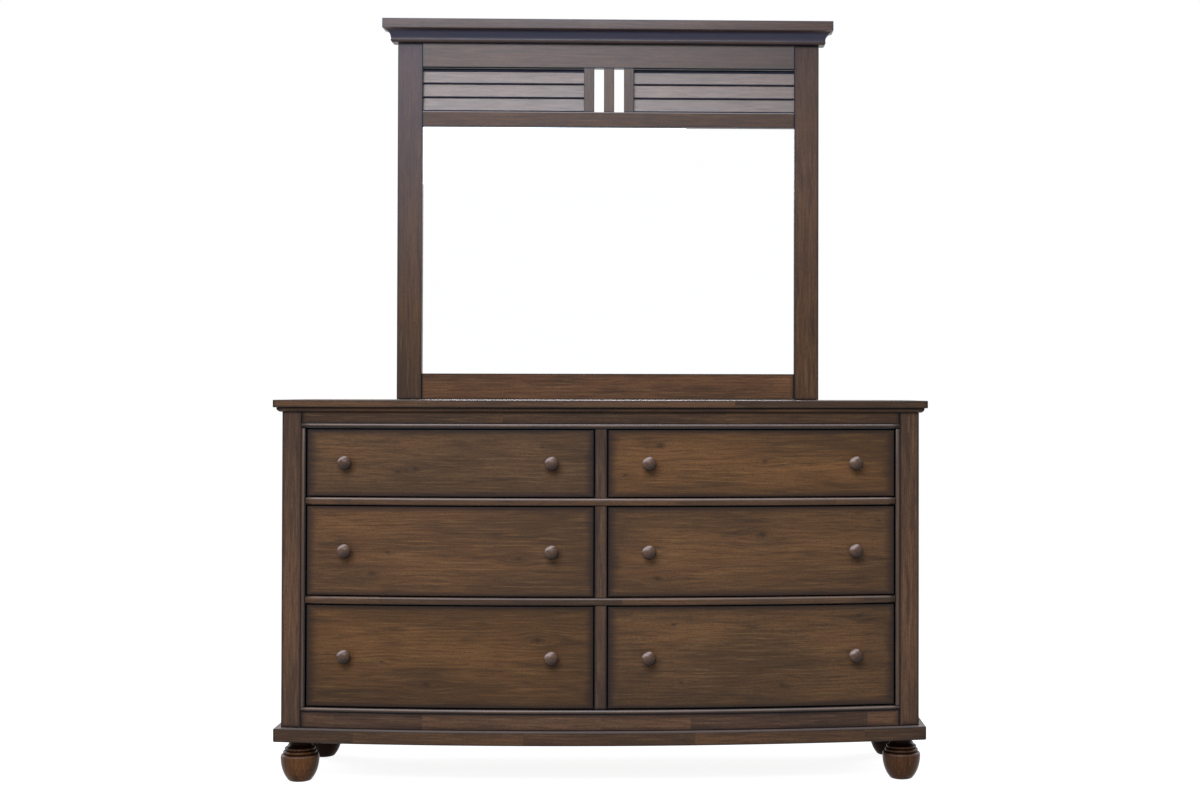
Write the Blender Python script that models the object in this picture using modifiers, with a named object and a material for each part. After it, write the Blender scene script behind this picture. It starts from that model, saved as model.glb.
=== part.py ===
"""A bow-front dresser with six drawers, and a louvred mirror that stands on its top.

Metres, +Z up, the front faces -Y. The origin is on the floor, under the middle of the whole piece.
Left and right are as seen from the front. Every curved front piece is an arc about one upright
axis far behind the dresser: the top, its moulding, the rails, the beads, the drawer fronts and
the plinth. A piece starts one glue line above the level that it stands on and ends at the next.
"""

import math

import bmesh
import bpy
import numpy as np
from mathutils import Matrix

# Driving dimensions. The whole piece:
TOP_WIDTH = 1.626
TOP_SIDE_DEPTH = 0.426
BOW_RISE = 0.070
BOW_STEPS = 20
BOW_SPARE = 1.05
GLUE_LINE = 0.0003
EASE_STEPS = 2
WELD = 0.00001
SMOOTH_BELOW = math.radians(30)
EASE_ABOVE = math.radians(40)

# The top and the moulding under it
TOP_THICKNESS = 0.019
TOP_OVERHANG = 0.0205
TOP_EASE = 0.0015
MOULDING_HEIGHT = 0.011
MOULDING_LIP = 0.0020
MOULDING_PROJECTION = 0.0130
MOULDING_STEPS = 5

# The face frame
POST_WIDTH = 0.049
POST_DEPTH = 0.045
FACE_THICKNESS = 0.024
BEAD_WIDTH = 0.0115
BEAD_PROUD = 0.0025
BEAD_QUIRK = 0.0010
BEAD_ROOT = 0.012
BEAD_STEPS = 6
TOP_RAIL_HEIGHT = 0.029
MIDDLE_RAIL_HEIGHT = 0.0195
MIDDLE_RAIL_ROUND = 0.0055
MIDDLE_RAIL_STEPS = 3
BOTTOM_RAIL_HEIGHT = 0.041
DIVIDER_WIDTH = 0.0305
DIVIDER_RECESS = 0.002

# The case behind it
SIDE_THICKNESS = 0.018
TONGUE_THICKNESS = 0.006
TONGUE_LENGTH = 0.008
BACK_THICKNESS = 0.006
BACK_RABBET = 0.009
BOTTOM_THICKNESS = 0.018
DUST_FRAME_THICKNESS = 0.018
DUST_PANEL_THICKNESS = 0.005
RUNNER_WIDTH = 0.065
CROSS_MEMBER_WIDTH = 0.060
GUIDE_HEIGHT = 0.015
GUIDE_ROOT = 0.004
GUIDE_SETBACK = 0.001

# The drawers
LOW_OPENING = 0.2545
MIDDLE_OPENING = 0.2250
HIGH_OPENING = 0.1700
FRONT_THICKNESS = 0.020
FRONT_GAP = 0.0025
FRONT_RECESS = 0.003
FRONT_EASE = 0.0012
BOX_SIDE_GAP = 0.001
BOX_TOP_GAP = 0.025
BOX_BACK_GAP = 0.025
BOX_WALL = 0.012
BOX_BOTTOM_THICKNESS = 0.006
BOX_BOTTOM_RISE = 0.010

# The knobs
KNOB_DIAMETER = 0.035
KNOB_LENGTH = 0.032
KNOB_DOME = 0.011
KNOB_HEAD = 0.021
KNOB_NECK_DIAMETER = 0.015
KNOB_BASE_DIAMETER = 0.021
KNOB_BASE_THICKNESS = 0.004
KNOB_PEG_DIAMETER = 0.009
KNOB_PEG_LENGTH = 0.012
KNOB_INSET = 0.101
KNOB_STEPS = 16
KNOB_DOME_STEPS = 4
KNOB_CUP_STEPS = 3

# The plinth
PLINTH_HEIGHT = 0.034
PLINTH_OVERHANG = 0.017
PLINTH_EASE = 0.003
PLINTH_MEMBER_WIDTH = 0.100

# The turned feet
FOOT_BOWL_RADIUS = 0.0475
FOOT_BOWL_HEIGHT = 0.0590
FOOT_SOLE_RADIUS = 0.0258
FOOT_RIM_RADIUS = 0.0412
FOOT_RIM_HEIGHT = 0.0090
FOOT_LOWER_RING_RADIUS = 0.0417
FOOT_UPPER_RING_RADIUS = 0.0378
FOOT_RING_HEIGHT = 0.0085
FOOT_RING_ROUND = 0.005
FOOT_NECK_RADIUS = 0.0280
FOOT_NECK_LENGTH = 0.0205
FOOT_NECK_HOLLOW = 0.0015
FOOT_DOWEL_RADIUS = 0.012
FOOT_DOWEL_LENGTH = 0.020
FOOT_SIDE_INSET = 0.0555
FOOT_FRONT_INSET = 0.059
FOOT_BACK_INSET = 0.055
FOOT_STEPS = 20
FOOT_RING_STEPS = 4
FOOT_RIM_STEPS = 3
FOOT_BOWL_STEPS = 6

# The mirror frame
MIRROR_WIDTH = 1.138
MIRROR_THICKNESS = 0.028
STILE_WIDTH = 0.066
MIRROR_BOTTOM_RAIL = 0.070
GLASS_OPENING_HEIGHT = 0.6685
MIRROR_MIDDLE_RAIL = 0.040
LOUVRE_HEIGHT = 0.1195
MIRROR_TOP_RAIL = 0.064
TENON_LENGTH = 0.025
TENON_THICKNESS = 0.009
TENON_SHOULDER = 0.010
GLASS_LIP = 0.013
GLASS_RABBET = 0.009
GLASS_LAP = 0.007
GLASS_THICKNESS = 0.004
BACKBOARD_THICKNESS = 0.005

# The mullions and louvres above the glass
MULLION_WIDTH = 0.027
MULLION_GAP = 0.027
SLAT_COUNT = 3
SLAT_PITCH = 0.0374
SLAT_WIDTH = 0.0426
SLAT_THICKNESS = 0.005
SLAT_TILT = 9.0
SLAT_FOOT = 0.0015
SLAT_SET_BACK = 0.0135
SLAT_ROOT = 0.005

# The cornice
CORNICE_START = 0.0125
CORNICE_ROUND_HEIGHT = 0.0072
CORNICE_ROUND_DEPTH = 0.005
CORNICE_COVE_START = 0.0165
CORNICE_COVE_HEIGHT = 0.0283
CORNICE_PROJECTION = 0.037
CORNICE_FASCIA_HEIGHT = 0.025
CORNICE_ROUND_STEPS = 4
CORNICE_COVE_STEPS = 6

# The battens that hold the mirror up from behind
SUPPORT_WIDTH = 0.060
SUPPORT_THICKNESS = 0.020
SUPPORT_BELOW_TOP = 0.560
SUPPORT_ABOVE_TOP = 0.560

# Levels, from the floor up
FOOT_HEIGHT = FOOT_BOWL_HEIGHT + FOOT_RIM_HEIGHT + 2 * FOOT_RING_HEIGHT + FOOT_NECK_LENGTH
CASE_Z = FOOT_HEIGHT + PLINTH_HEIGHT
LOW_ROW_Z = CASE_Z + BOTTOM_RAIL_HEIGHT + BEAD_WIDTH
LOW_MIDDLE_RAIL_Z = LOW_ROW_Z + LOW_OPENING
MIDDLE_ROW_Z = LOW_MIDDLE_RAIL_Z + MIDDLE_RAIL_HEIGHT
HIGH_MIDDLE_RAIL_Z = MIDDLE_ROW_Z + MIDDLE_OPENING
HIGH_ROW_Z = HIGH_MIDDLE_RAIL_Z + MIDDLE_RAIL_HEIGHT
TOP_BEAD_Z = HIGH_ROW_Z + HIGH_OPENING
MOULDING_Z = TOP_BEAD_Z + BEAD_WIDTH + TOP_RAIL_HEIGHT
TOP_UNDERSIDE_Z = MOULDING_Z + MOULDING_HEIGHT
MIRROR_Z = TOP_UNDERSIDE_Z + TOP_THICKNESS
GLASS_LOW_Z = MIRROR_Z + MIRROR_BOTTOM_RAIL
GLASS_HIGH_Z = GLASS_LOW_Z + GLASS_OPENING_HEIGHT
LOUVRE_Z = GLASS_HIGH_Z + MIRROR_MIDDLE_RAIL
MIRROR_TOP_RAIL_Z = LOUVRE_Z + LOUVRE_HEIGHT
CORNICE_Z = MIRROR_TOP_RAIL_Z + MIRROR_TOP_RAIL
ROWS = (
    ("bottom", LOW_ROW_Z, LOW_MIDDLE_RAIL_Z),
    ("middle", MIDDLE_ROW_Z, HIGH_MIDDLE_RAIL_Z),
    ("top", HIGH_ROW_Z, TOP_BEAD_Z),
)
SIDES = (("left", -1), ("right", 1))

# Widths from the middle outwards
CASE_HALF = TOP_WIDTH / 2 - TOP_OVERHANG
POST_INNER = CASE_HALF - POST_WIDTH
OPENING_EDGE = POST_INNER - BEAD_WIDTH
INNER_WALL = CASE_HALF - SIDE_THICKNESS - GLUE_LINE
FRONT_INNER = DIVIDER_WIDTH / 2 + FRONT_GAP
FRONT_OUTER = OPENING_EDGE - FRONT_GAP
BOX_INNER = FRONT_INNER + BOX_SIDE_GAP
BOX_OUTER = FRONT_OUTER - BOX_SIDE_GAP
KNOB_PLACES = (("inner", FRONT_INNER + KNOB_INSET), ("outer", FRONT_OUTER - KNOB_INSET))

# Insets of the concentric faces behind the front edge of the top
FACE_INSET = TOP_OVERHANG
FACE_BACK_INSET = FACE_INSET + FACE_THICKNESS
DRAWER_INSET = FACE_INSET + FRONT_RECESS
DRAWER_BACK_INSET = DRAWER_INSET + FRONT_THICKNESS

# The bow is one circle through the top's front corners and its middle
TOP_MIDDLE_DEPTH = TOP_SIDE_DEPTH + BOW_RISE
BOW_RADIUS = (TOP_WIDTH ** 2 / 4 + BOW_RISE ** 2) / (2 * BOW_RISE)
BOW_SPAN = BOW_SPARE * math.asin(TOP_WIDTH / 2 / BOW_RADIUS)
BOW_ANGLES = np.linspace(-BOW_SPAN, BOW_SPAN, BOW_STEPS + 1)


def reach(inset, x):
    """How far the bow lies in front of the case's back at x, this far behind the top's edge."""
    radius = BOW_RADIUS - inset
    ahead = radius * np.cos(BOW_ANGLES) - BOW_RADIUS + TOP_MIDDLE_DEPTH
    return float(np.interp(x, radius * np.sin(BOW_ANGLES), ahead))


# The origin lies midway between the knobs' tips and the backs of the mirror's battens
KNOB_REACH = reach(DRAWER_INSET, KNOB_PLACES[0][1]) + GLUE_LINE + KNOB_LENGTH
BACK_REACH = GLUE_LINE + SUPPORT_THICKNESS
BACK_Y = (max(KNOB_REACH, TOP_MIDDLE_DEPTH) - BACK_REACH) / 2
BOW_CENTRE_Y = BACK_Y - TOP_MIDDLE_DEPTH + BOW_RADIUS


def bow_y(inset, x):
    """The bow's y at x, this far behind the top's front edge."""
    return BACK_Y - reach(inset, x)


def bow_line(inset, x_low, x_high):
    """Points along the bow from x_low to x_high, with its own stations between them."""
    stations = (BOW_RADIUS - inset) * np.sin(BOW_ANGLES)
    inside = [float(x) for x in stations if x_low < x < x_high]
    return [(x, bow_y(inset, x)) for x in [x_low, *inside, x_high]]


POST_BACK_Y = bow_y(FACE_INSET, CASE_HALF) + POST_DEPTH
INNER_BACK_Y = BACK_Y - BACK_THICKNESS - GLUE_LINE
MIRROR_FACE_Y = BACK_Y - MIRROR_THICKNESS
MIRROR_HALF = MIRROR_WIDTH / 2
GLASS_HALF = MIRROR_HALF - STILE_WIDTH
FOOT_X = CASE_HALF + PLINTH_OVERHANG - FOOT_SIDE_INSET

# Finishes: colour in linear light, roughness
FINISHES = {
    "dark stained wood": ((0.108, 0.062, 0.038), 0.42),
    "knob wood": ((0.085, 0.058, 0.047), 0.30),
    "drawer lining": ((0.42, 0.27, 0.14), 0.60),
    "plywood": ((0.36, 0.24, 0.13), 0.65),
    "silvered glass": ((0.90, 0.92, 0.92), 0.02),
}


def clear_scene():
    for item in list(bpy.data.objects):
        bpy.data.objects.remove(item, do_unlink=True)


clear_scene()
parts = bpy.data.collections.new("bow_front_dresser")
cutters = bpy.data.collections.new("cutters")
for collection in (parts, cutters):
    bpy.context.scene.collection.children.link(collection)


def arc(centre, radii, start, end, steps):
    """Points on an ellipse from one angle to another, in degrees."""
    angles = [math.radians(start + (end - start) * step / steps) for step in range(steps + 1)]
    return [(centre[0] + radii[0] * math.cos(a), centre[1] + radii[1] * math.sin(a)) for a in angles]


def mirrored(points, side):
    return [(side * x, y) for x, y in points]


def rectangle(low, high):
    return [(low[0], low[1]), (high[0], low[1]), (high[0], high[1]), (low[0], high[1])]


def place(name, mesh, collection=parts):
    item = bpy.data.objects.new(name, mesh)
    collection.objects.link(item)
    if collection is cutters:
        item.hide_render = True
        item.display_type = "WIRE"
    return item


def finished_mesh(name, shape):
    """Turn a bmesh into a closed mesh whose faces point out, smooth except at its corners."""
    bmesh.ops.recalc_face_normals(shape, faces=shape.faces)
    mesh = bpy.data.meshes.new(name)
    shape.to_mesh(mesh)
    shape.free()
    mesh.shade_smooth()
    mesh.set_sharp_from_angle(angle=SMOOTH_BELOW)
    return mesh


def box(name, low, high, collection=parts):
    shape = bmesh.new()
    bmesh.ops.create_cube(shape, size=1.0)
    bmesh.ops.scale(shape, vec=[h - l for l, h in zip(low, high)], verts=shape.verts)
    item = place(name, finished_mesh(name, shape), collection)
    item.location = [(l + h) / 2 for l, h in zip(low, high)]
    return item


# How an outline's two coordinates and its depth turn into x, y and z
LAY = {
    "X": Matrix(((0, 0, 1, 0), (1, 0, 0, 0), (0, 1, 0, 0), (0, 0, 0, 1))),
    "Z": Matrix.Identity(4),
}


def extruded(name, outlines, axis, low, high, collection=parts):
    """A flat outline, with holes for any further outlines, carried along an axis."""
    curve = bpy.data.curves.new(name, "CURVE")
    curve.dimensions = "2D"
    curve.fill_mode = "BOTH"
    curve.extrude = (high - low) / 2
    for outline in outlines:
        spline = curve.splines.new("POLY")
        spline.points.add(len(outline) - 1)
        for point, (first, second) in zip(spline.points, outline):
            point.co = (first, second, 0.0, 1.0)
        spline.use_cyclic_u = True
    flat = place(name, curve, cutters)
    flat.matrix_world = Matrix.Translation(LAY[axis].col[2] * (low + high) / 2) @ LAY[axis]
    bpy.context.view_layer.update()
    mesh = bpy.data.meshes.new_from_object(flat.evaluated_get(bpy.context.evaluated_depsgraph_get()))
    shape = bmesh.new()
    shape.from_mesh(mesh)
    bmesh.ops.remove_doubles(shape, verts=shape.verts, dist=WELD)
    bmesh.ops.dissolve_limit(shape, angle_limit=math.radians(0.1), verts=shape.verts, edges=shape.edges)
    matrix = flat.matrix_world.copy()
    bpy.data.objects.remove(flat, do_unlink=True)
    bpy.data.curves.remove(curve)
    bpy.data.meshes.remove(mesh)
    item = place(name, finished_mesh(name, shape), collection)
    item.matrix_world = matrix
    return item


def bowed(name, section, x_low, x_high, collection=parts):
    """A closed section of (inset, height) points, spun about the bow's axis and sawn off square."""
    shape = bmesh.new()
    start = -BOW_SPAN
    ring = []
    for inset, height in section:
        radius = BOW_RADIUS - inset
        point = (radius * math.sin(start), BOW_CENTRE_Y - radius * math.cos(start), height)
        ring.append(shape.verts.new(point))
    edges = [shape.edges.new(pair) for pair in zip(ring, ring[1:] + ring[:1])]
    bmesh.ops.spin(shape, geom=ring + edges, cent=(0.0, BOW_CENTRE_Y, 0.0), axis=(0.0, 0.0, 1.0),
                   angle=2 * BOW_SPAN, steps=BOW_STEPS)
    for x, outward in ((x_low, -1.0), (x_high, 1.0)):
        everything = shape.verts[:] + shape.edges[:] + shape.faces[:]
        bmesh.ops.bisect_plane(shape, geom=everything, plane_co=(x, 0.0, 0.0),
                               plane_no=(outward, 0.0, 0.0), clear_outer=True)
    bmesh.ops.holes_fill(shape, edges=[edge for edge in shape.edges if edge.is_boundary])
    return place(name, finished_mesh(name, shape), collection)


def lofted(name, rings):
    """Closed rings of as many points each, joined one to the next and closed at both ends."""
    shape = bmesh.new()
    loops = [[shape.verts.new(point) for point in ring] for ring in rings]
    count = len(loops[0])
    for below, above in zip(loops, loops[1:]):
        for here in range(count):
            there = (here + 1) % count
            shape.faces.new((below[here], below[there], above[there], above[here]))
    shape.faces.new(loops[0])
    shape.faces.new(loops[-1])
    return place(name, finished_mesh(name, shape))


def turned(name, profile, steps, collection=parts):
    """A profile of (radius, height) points, from the top down, turned about its own upright axis."""
    mesh = bpy.data.meshes.new(name)
    edges = [(point, point + 1) for point in range(len(profile) - 1)]
    mesh.from_pydata([(radius, 0.0, height) for radius, height in profile], edges, [])
    item = place(name, mesh, collection)
    turning = item.modifiers.new("turning", "SCREW")
    turning.steps = steps
    turning.render_steps = steps
    turning.use_merge_vertices = True
    turning.merge_threshold = WELD
    turning.use_smooth_shade = True
    return item


def cylinder(name, radius, low, high, steps):
    profile = [(0.0, high), (radius, high), (radius, low), (0.0, low)]
    return turned(name, profile, steps, cutters)


def ease(item, width, segments=1):
    """Take the sharpness off a piece's long edges."""
    rounding = item.modifiers.new("eased edges", "BEVEL")
    rounding.width = width
    rounding.segments = segments
    rounding.limit_method = "ANGLE"
    rounding.angle_limit = EASE_ABOVE


def combine(item, tool, operation):
    step = item.modifiers.new(tool.name, "BOOLEAN")
    step.operation = operation
    step.solver = "EXACT"
    step.object = tool


def cut(item, *tools):
    for tool in tools:
        combine(item, tool, "DIFFERENCE")


def glue(item, *pieces):
    for piece in pieces:
        combine(item, piece, "UNION")


def finish(item, kind):
    colour, roughness = FINISHES[kind]
    material = bpy.data.materials.new(item.name)
    material.use_nodes = True
    shader = material.node_tree.nodes["Principled BSDF"]
    shader.inputs["Base Color"].default_value = (*colour, 1.0)
    shader.inputs["Roughness"].default_value = roughness
    shader.inputs["Metallic"].default_value = 1.0 if kind == "silvered glass" else 0.0
    item.data.materials.clear()
    item.data.materials.append(material)
    return item


def make_feet():
    """Four turned bun feet: a dowel, a hollow neck, two rings and a bowl that narrows to the sole."""
    ring_low = FOOT_BOWL_HEIGHT + FOOT_RIM_HEIGHT
    bowl_depth = FOOT_BOWL_HEIGHT / math.sqrt(1 - (FOOT_SOLE_RADIUS / FOOT_BOWL_RADIUS) ** 2)
    sole_angle = -math.degrees(math.acos(FOOT_SOLE_RADIUS / FOOT_BOWL_RADIUS))
    neck_middle = FOOT_HEIGHT - FOOT_NECK_LENGTH / 2
    profile = [
        (0.0, FOOT_HEIGHT + FOOT_DOWEL_LENGTH),
        (FOOT_DOWEL_RADIUS, FOOT_HEIGHT + FOOT_DOWEL_LENGTH),
        (FOOT_DOWEL_RADIUS, FOOT_HEIGHT),
        (FOOT_NECK_RADIUS, FOOT_HEIGHT),
        (FOOT_NECK_RADIUS - FOOT_NECK_HOLLOW, neck_middle),
    ]
    for order, radius in ((1, FOOT_UPPER_RING_RADIUS), (0, FOOT_LOWER_RING_RADIUS)):
        middle = ring_low + (order + 0.5) * FOOT_RING_HEIGHT
        round_part = (FOOT_RING_ROUND, FOOT_RING_HEIGHT / 2)
        profile += arc((radius - FOOT_RING_ROUND, middle), round_part, 90, -90, FOOT_RING_STEPS)
    rim = (FOOT_BOWL_RADIUS - FOOT_RIM_RADIUS, FOOT_RIM_HEIGHT)
    profile += arc((FOOT_RIM_RADIUS, FOOT_BOWL_HEIGHT), rim, 90, 0, FOOT_RIM_STEPS)[:-1]
    bowl = (FOOT_BOWL_RADIUS, bowl_depth)
    profile += arc((0.0, FOOT_BOWL_HEIGHT), bowl, 0, sole_angle, FOOT_BOWL_STEPS)[:-1]
    profile += [(FOOT_SOLE_RADIUS, 0.0), (0.0, 0.0)]

    front_y = bow_y(FACE_INSET - PLINTH_OVERHANG, CASE_HALF + PLINTH_OVERHANG) + FOOT_FRONT_INSET
    holes = []
    for end, y in (("front", front_y), ("rear", BACK_Y - FOOT_BACK_INSET)):
        for side_name, side in SIDES:
            foot = turned(f"{end}_{side_name}_foot", profile, FOOT_STEPS)
            foot.location = (side * FOOT_X, y, 0.0)
            finish(foot, "dark stained wood")
            hole = cylinder(f"{foot.name}_hole", FOOT_DOWEL_RADIUS + GLUE_LINE, FOOT_HEIGHT - GLUE_LINE,
                            FOOT_HEIGHT + FOOT_DOWEL_LENGTH + GLUE_LINE, FOOT_STEPS)
            hole.location = foot.location
            holes.append(hole)
    return holes


def make_plinth(foot_holes):
    """A flat frame under the case, bowed in front, with its corners drilled for the feet."""
    half = CASE_HALF + PLINTH_OVERHANG
    front = FACE_INSET - PLINTH_OVERHANG
    outline = [*bow_line(front, -half, half), (half, BACK_Y), (-half, BACK_Y)]
    hole_half = half - PLINTH_MEMBER_WIDTH
    hole_back = BACK_Y - PLINTH_MEMBER_WIDTH
    hole = [*bow_line(front + PLINTH_MEMBER_WIDTH, -hole_half, hole_half),
            (hole_half, hole_back), (-hole_half, hole_back)]
    plinth = extruded("plinth_frame", [outline, hole], "Z", FOOT_HEIGHT + GLUE_LINE, CASE_Z)
    ease(plinth, PLINTH_EASE, EASE_STEPS)
    cut(plinth, *foot_holes)
    finish(plinth, "dark stained wood")


def make_posts():
    """Front corner posts, grooved behind for the side panels, each with its bead on the inner edge."""
    groove_middle = CASE_HALF - SIDE_THICKNESS / 2
    groove_half = TONGUE_THICKNESS / 2 + GLUE_LINE
    groove_end = POST_BACK_Y - TONGUE_LENGTH - GLUE_LINE
    outline = [
        *bow_line(FACE_INSET, POST_INNER, CASE_HALF),
        (CASE_HALF, POST_BACK_Y),
        (groove_middle + groove_half, POST_BACK_Y),
        (groove_middle + groove_half, groove_end),
        (groove_middle - groove_half, groove_end),
        (groove_middle - groove_half, POST_BACK_Y),
        (POST_INNER, POST_BACK_Y),
    ]
    bead_middle = POST_INNER - BEAD_WIDTH / 2
    bead_edge = bow_y(FACE_INSET + BEAD_QUIRK, bead_middle)
    bead_root = POST_INNER + BEAD_ROOT
    bead_back = bow_y(FACE_BACK_INSET, OPENING_EDGE)
    bead = [
        *arc((bead_middle, bead_edge), (BEAD_WIDTH / 2, BEAD_QUIRK + BEAD_PROUD), 180, 360, BEAD_STEPS),
        (bead_root, bow_y(FACE_INSET + 2 * BEAD_QUIRK, bead_root)),
        (bead_root, bead_back),
        (OPENING_EDGE, bead_back),
    ]
    for side_name, side in SIDES:
        post = extruded(f"{side_name}_front_post", [mirrored(outline, side)], "Z",
                        CASE_Z + GLUE_LINE, TOP_UNDERSIDE_Z)
        strip = extruded(f"{side_name}_bead", [mirrored(bead, side)], "Z",
                         LOW_ROW_Z + GLUE_LINE, TOP_BEAD_Z - GLUE_LINE, cutters)
        glue(post, strip)
        finish(post, "dark stained wood")


def bead_section(low):
    """A rounded bead's front, from its lower quirk to its upper one."""
    middle = low + BEAD_WIDTH / 2
    edge = FACE_INSET + BEAD_QUIRK
    return arc((edge, middle), (BEAD_QUIRK + BEAD_PROUD, BEAD_WIDTH / 2), 270, 90, BEAD_STEPS)


def make_rails():
    """Four bowed rails. The top and bottom ones carry the beads that frame the drawers."""
    end = POST_INNER - GLUE_LINE
    top_section = [
        (FACE_BACK_INSET, TOP_BEAD_Z),
        *bead_section(TOP_BEAD_Z),
        (FACE_INSET, TOP_BEAD_Z + BEAD_WIDTH),
        (FACE_INSET, TOP_UNDERSIDE_Z),
        (FACE_BACK_INSET, TOP_UNDERSIDE_Z),
    ]
    finish(bowed("top_rail", top_section, -end, end), "dark stained wood")

    bead_low = LOW_ROW_Z - BEAD_WIDTH
    bottom_section = [
        (FACE_BACK_INSET, CASE_Z + GLUE_LINE),
        (FACE_INSET, CASE_Z + GLUE_LINE),
        (FACE_INSET, bead_low),
        *bead_section(bead_low),
        (FACE_BACK_INSET, LOW_ROW_Z),
    ]
    finish(bowed("bottom_rail", bottom_section, -end, end), "dark stained wood")

    end = OPENING_EDGE - GLUE_LINE
    proud = FACE_INSET - BEAD_PROUD
    for name, low in (("lower_middle_rail", LOW_MIDDLE_RAIL_Z), ("upper_middle_rail", HIGH_MIDDLE_RAIL_Z)):
        high = low + MIDDLE_RAIL_HEIGHT
        nose = (MIDDLE_RAIL_ROUND, MIDDLE_RAIL_ROUND)
        corner = proud + MIDDLE_RAIL_ROUND
        section = [
            (FACE_BACK_INSET, low),
            *arc((corner, low + MIDDLE_RAIL_ROUND), nose, 270, 180, MIDDLE_RAIL_STEPS),
            *arc((corner, high - MIDDLE_RAIL_ROUND), nose, 180, 90, MIDDLE_RAIL_STEPS),
            (FACE_BACK_INSET, high),
        ]
        finish(bowed(name, section, -end, end), "dark stained wood")


def make_side_panels():
    """Flat sides with a tongue into the post and a rabbet behind for the back panel."""
    inner = CASE_HALF - SIDE_THICKNESS
    front = POST_BACK_Y + GLUE_LINE
    tongue_middle = CASE_HALF - SIDE_THICKNESS / 2
    tongue_half = TONGUE_THICKNESS / 2
    rabbet_front = BACK_Y - BACK_THICKNESS - GLUE_LINE
    outline = [
        (CASE_HALF, front),
        (tongue_middle + tongue_half, front),
        (tongue_middle + tongue_half, front - TONGUE_LENGTH),
        (tongue_middle - tongue_half, front - TONGUE_LENGTH),
        (tongue_middle - tongue_half, front),
        (inner, front),
        (inner, rabbet_front),
        (inner + BACK_RABBET, rabbet_front),
        (inner + BACK_RABBET, BACK_Y),
        (CASE_HALF, BACK_Y),
    ]
    for side_name, side in SIDES:
        panel = extruded(f"{side_name}_side_panel", [mirrored(outline, side)], "Z",
                         CASE_Z + GLUE_LINE, TOP_UNDERSIDE_Z)
        finish(panel, "dark stained wood")


def make_back_panel():
    half = CASE_HALF - SIDE_THICKNESS + BACK_RABBET - GLUE_LINE
    low = (-half, BACK_Y - BACK_THICKNESS, CASE_Z + GLUE_LINE)
    finish(box("back_panel", low, (half, BACK_Y, TOP_UNDERSIDE_Z)), "plywood")


def shelf_line(x_from):
    """The front and one outer edge of a level piece inside the case, notched round the post."""
    post_side = POST_INNER - GLUE_LINE
    behind_post = POST_BACK_Y + GLUE_LINE
    front = bow_line(FACE_BACK_INSET + GLUE_LINE, x_from, post_side)
    return [*front, (post_side, behind_post), (INNER_WALL, behind_post), (INNER_WALL, INNER_BACK_Y)]


def guide_strip(name, side, level):
    """A strip that stands on the runner beside a drawer box and keeps it straight."""
    x_low, x_high = sorted((side * OPENING_EDGE, side * (INNER_WALL - GUIDE_SETBACK)))
    low = (x_low, POST_BACK_Y + GLUE_LINE + GUIDE_SETBACK, level - GUIDE_ROOT)
    high = (x_high, INNER_BACK_Y - GUIDE_SETBACK, level + GUIDE_HEIGHT)
    return box(name, low, high, cutters)


def make_case_bottom():
    """The board that the lowest drawers run on."""
    past_middle = -RUNNER_WIDTH
    outline = [*shelf_line(past_middle), (past_middle, INNER_BACK_Y)]
    board = extruded("case_bottom", [outline], "Z", LOW_ROW_Z - BOTTOM_THICKNESS, LOW_ROW_Z)
    glue(board, guide_strip("bottom_guide", 1, LOW_ROW_Z))
    other_half = board.modifiers.new("other half", "MIRROR")
    other_half.use_bisect_axis[0] = True
    other_half.use_bisect_flip_axis[0] = False
    other_half.merge_threshold = WELD
    finish(board, "plywood")


def make_dust_frames():
    """Half-width frames between the rows, with a thin panel in each and a guide on the outside."""
    inner = DIVIDER_WIDTH / 2 + GLUE_LINE
    outline = [*shelf_line(inner), (inner, INNER_BACK_Y)]
    panel_front = bow_y(FACE_BACK_INSET, OPENING_EDGE) + CROSS_MEMBER_WIDTH
    panel_back = INNER_BACK_Y - CROSS_MEMBER_WIDTH
    for row_name, level in (("lower", MIDDLE_ROW_Z), ("upper", HIGH_ROW_Z)):
        low = level - DUST_FRAME_THICKNESS
        panel_low = level - (DUST_FRAME_THICKNESS + DUST_PANEL_THICKNESS) / 2
        panel_high = panel_low + DUST_PANEL_THICKNESS
        for side_name, side in SIDES:
            name = f"{row_name}_{side_name}_dust_frame"
            frame = extruded(name, [mirrored(outline, side)], "Z", low, level)
            x_low, x_high = sorted((side * (inner + RUNNER_WIDTH), side * (OPENING_EDGE - RUNNER_WIDTH)))
            above = box(f"{name}_above", (x_low, panel_front, panel_high),
                        (x_high, panel_back, level + GUIDE_HEIGHT), cutters)
            under = box(f"{name}_under", (x_low, panel_front, low - GUIDE_HEIGHT),
                        (x_high, panel_back, panel_low), cutters)
            cut(frame, above, under)
            glue(frame, guide_strip(f"{name}_guide", side, level))
            finish(frame, "drawer lining")


def make_partition():
    """The upright between the two stacks of drawers, notched round the middle rails."""
    edge = DIVIDER_WIDTH / 2
    front = bow_y(FACE_INSET + DIVIDER_RECESS, 0.0)
    behind_rail = bow_y(FACE_BACK_INSET, edge) + GLUE_LINE
    outline = [(INNER_BACK_Y, LOW_ROW_Z + GLUE_LINE), (front, LOW_ROW_Z + GLUE_LINE)]
    for rail_low in (LOW_MIDDLE_RAIL_Z, HIGH_MIDDLE_RAIL_Z):
        notch_low = rail_low - GLUE_LINE
        notch_high = rail_low + MIDDLE_RAIL_HEIGHT + GLUE_LINE
        notch = rectangle((behind_rail, notch_low), (front, notch_high))
        outline += [notch[1], notch[0], notch[3], notch[2]]
    top = TOP_BEAD_Z - GLUE_LINE
    outline += [(front, top), (behind_rail, top)]
    outline += [(behind_rail, TOP_UNDERSIDE_Z), (INNER_BACK_Y, TOP_UNDERSIDE_Z)]
    finish(extruded("centre_partition", [outline], "X", -edge, edge), "dark stained wood")


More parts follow.
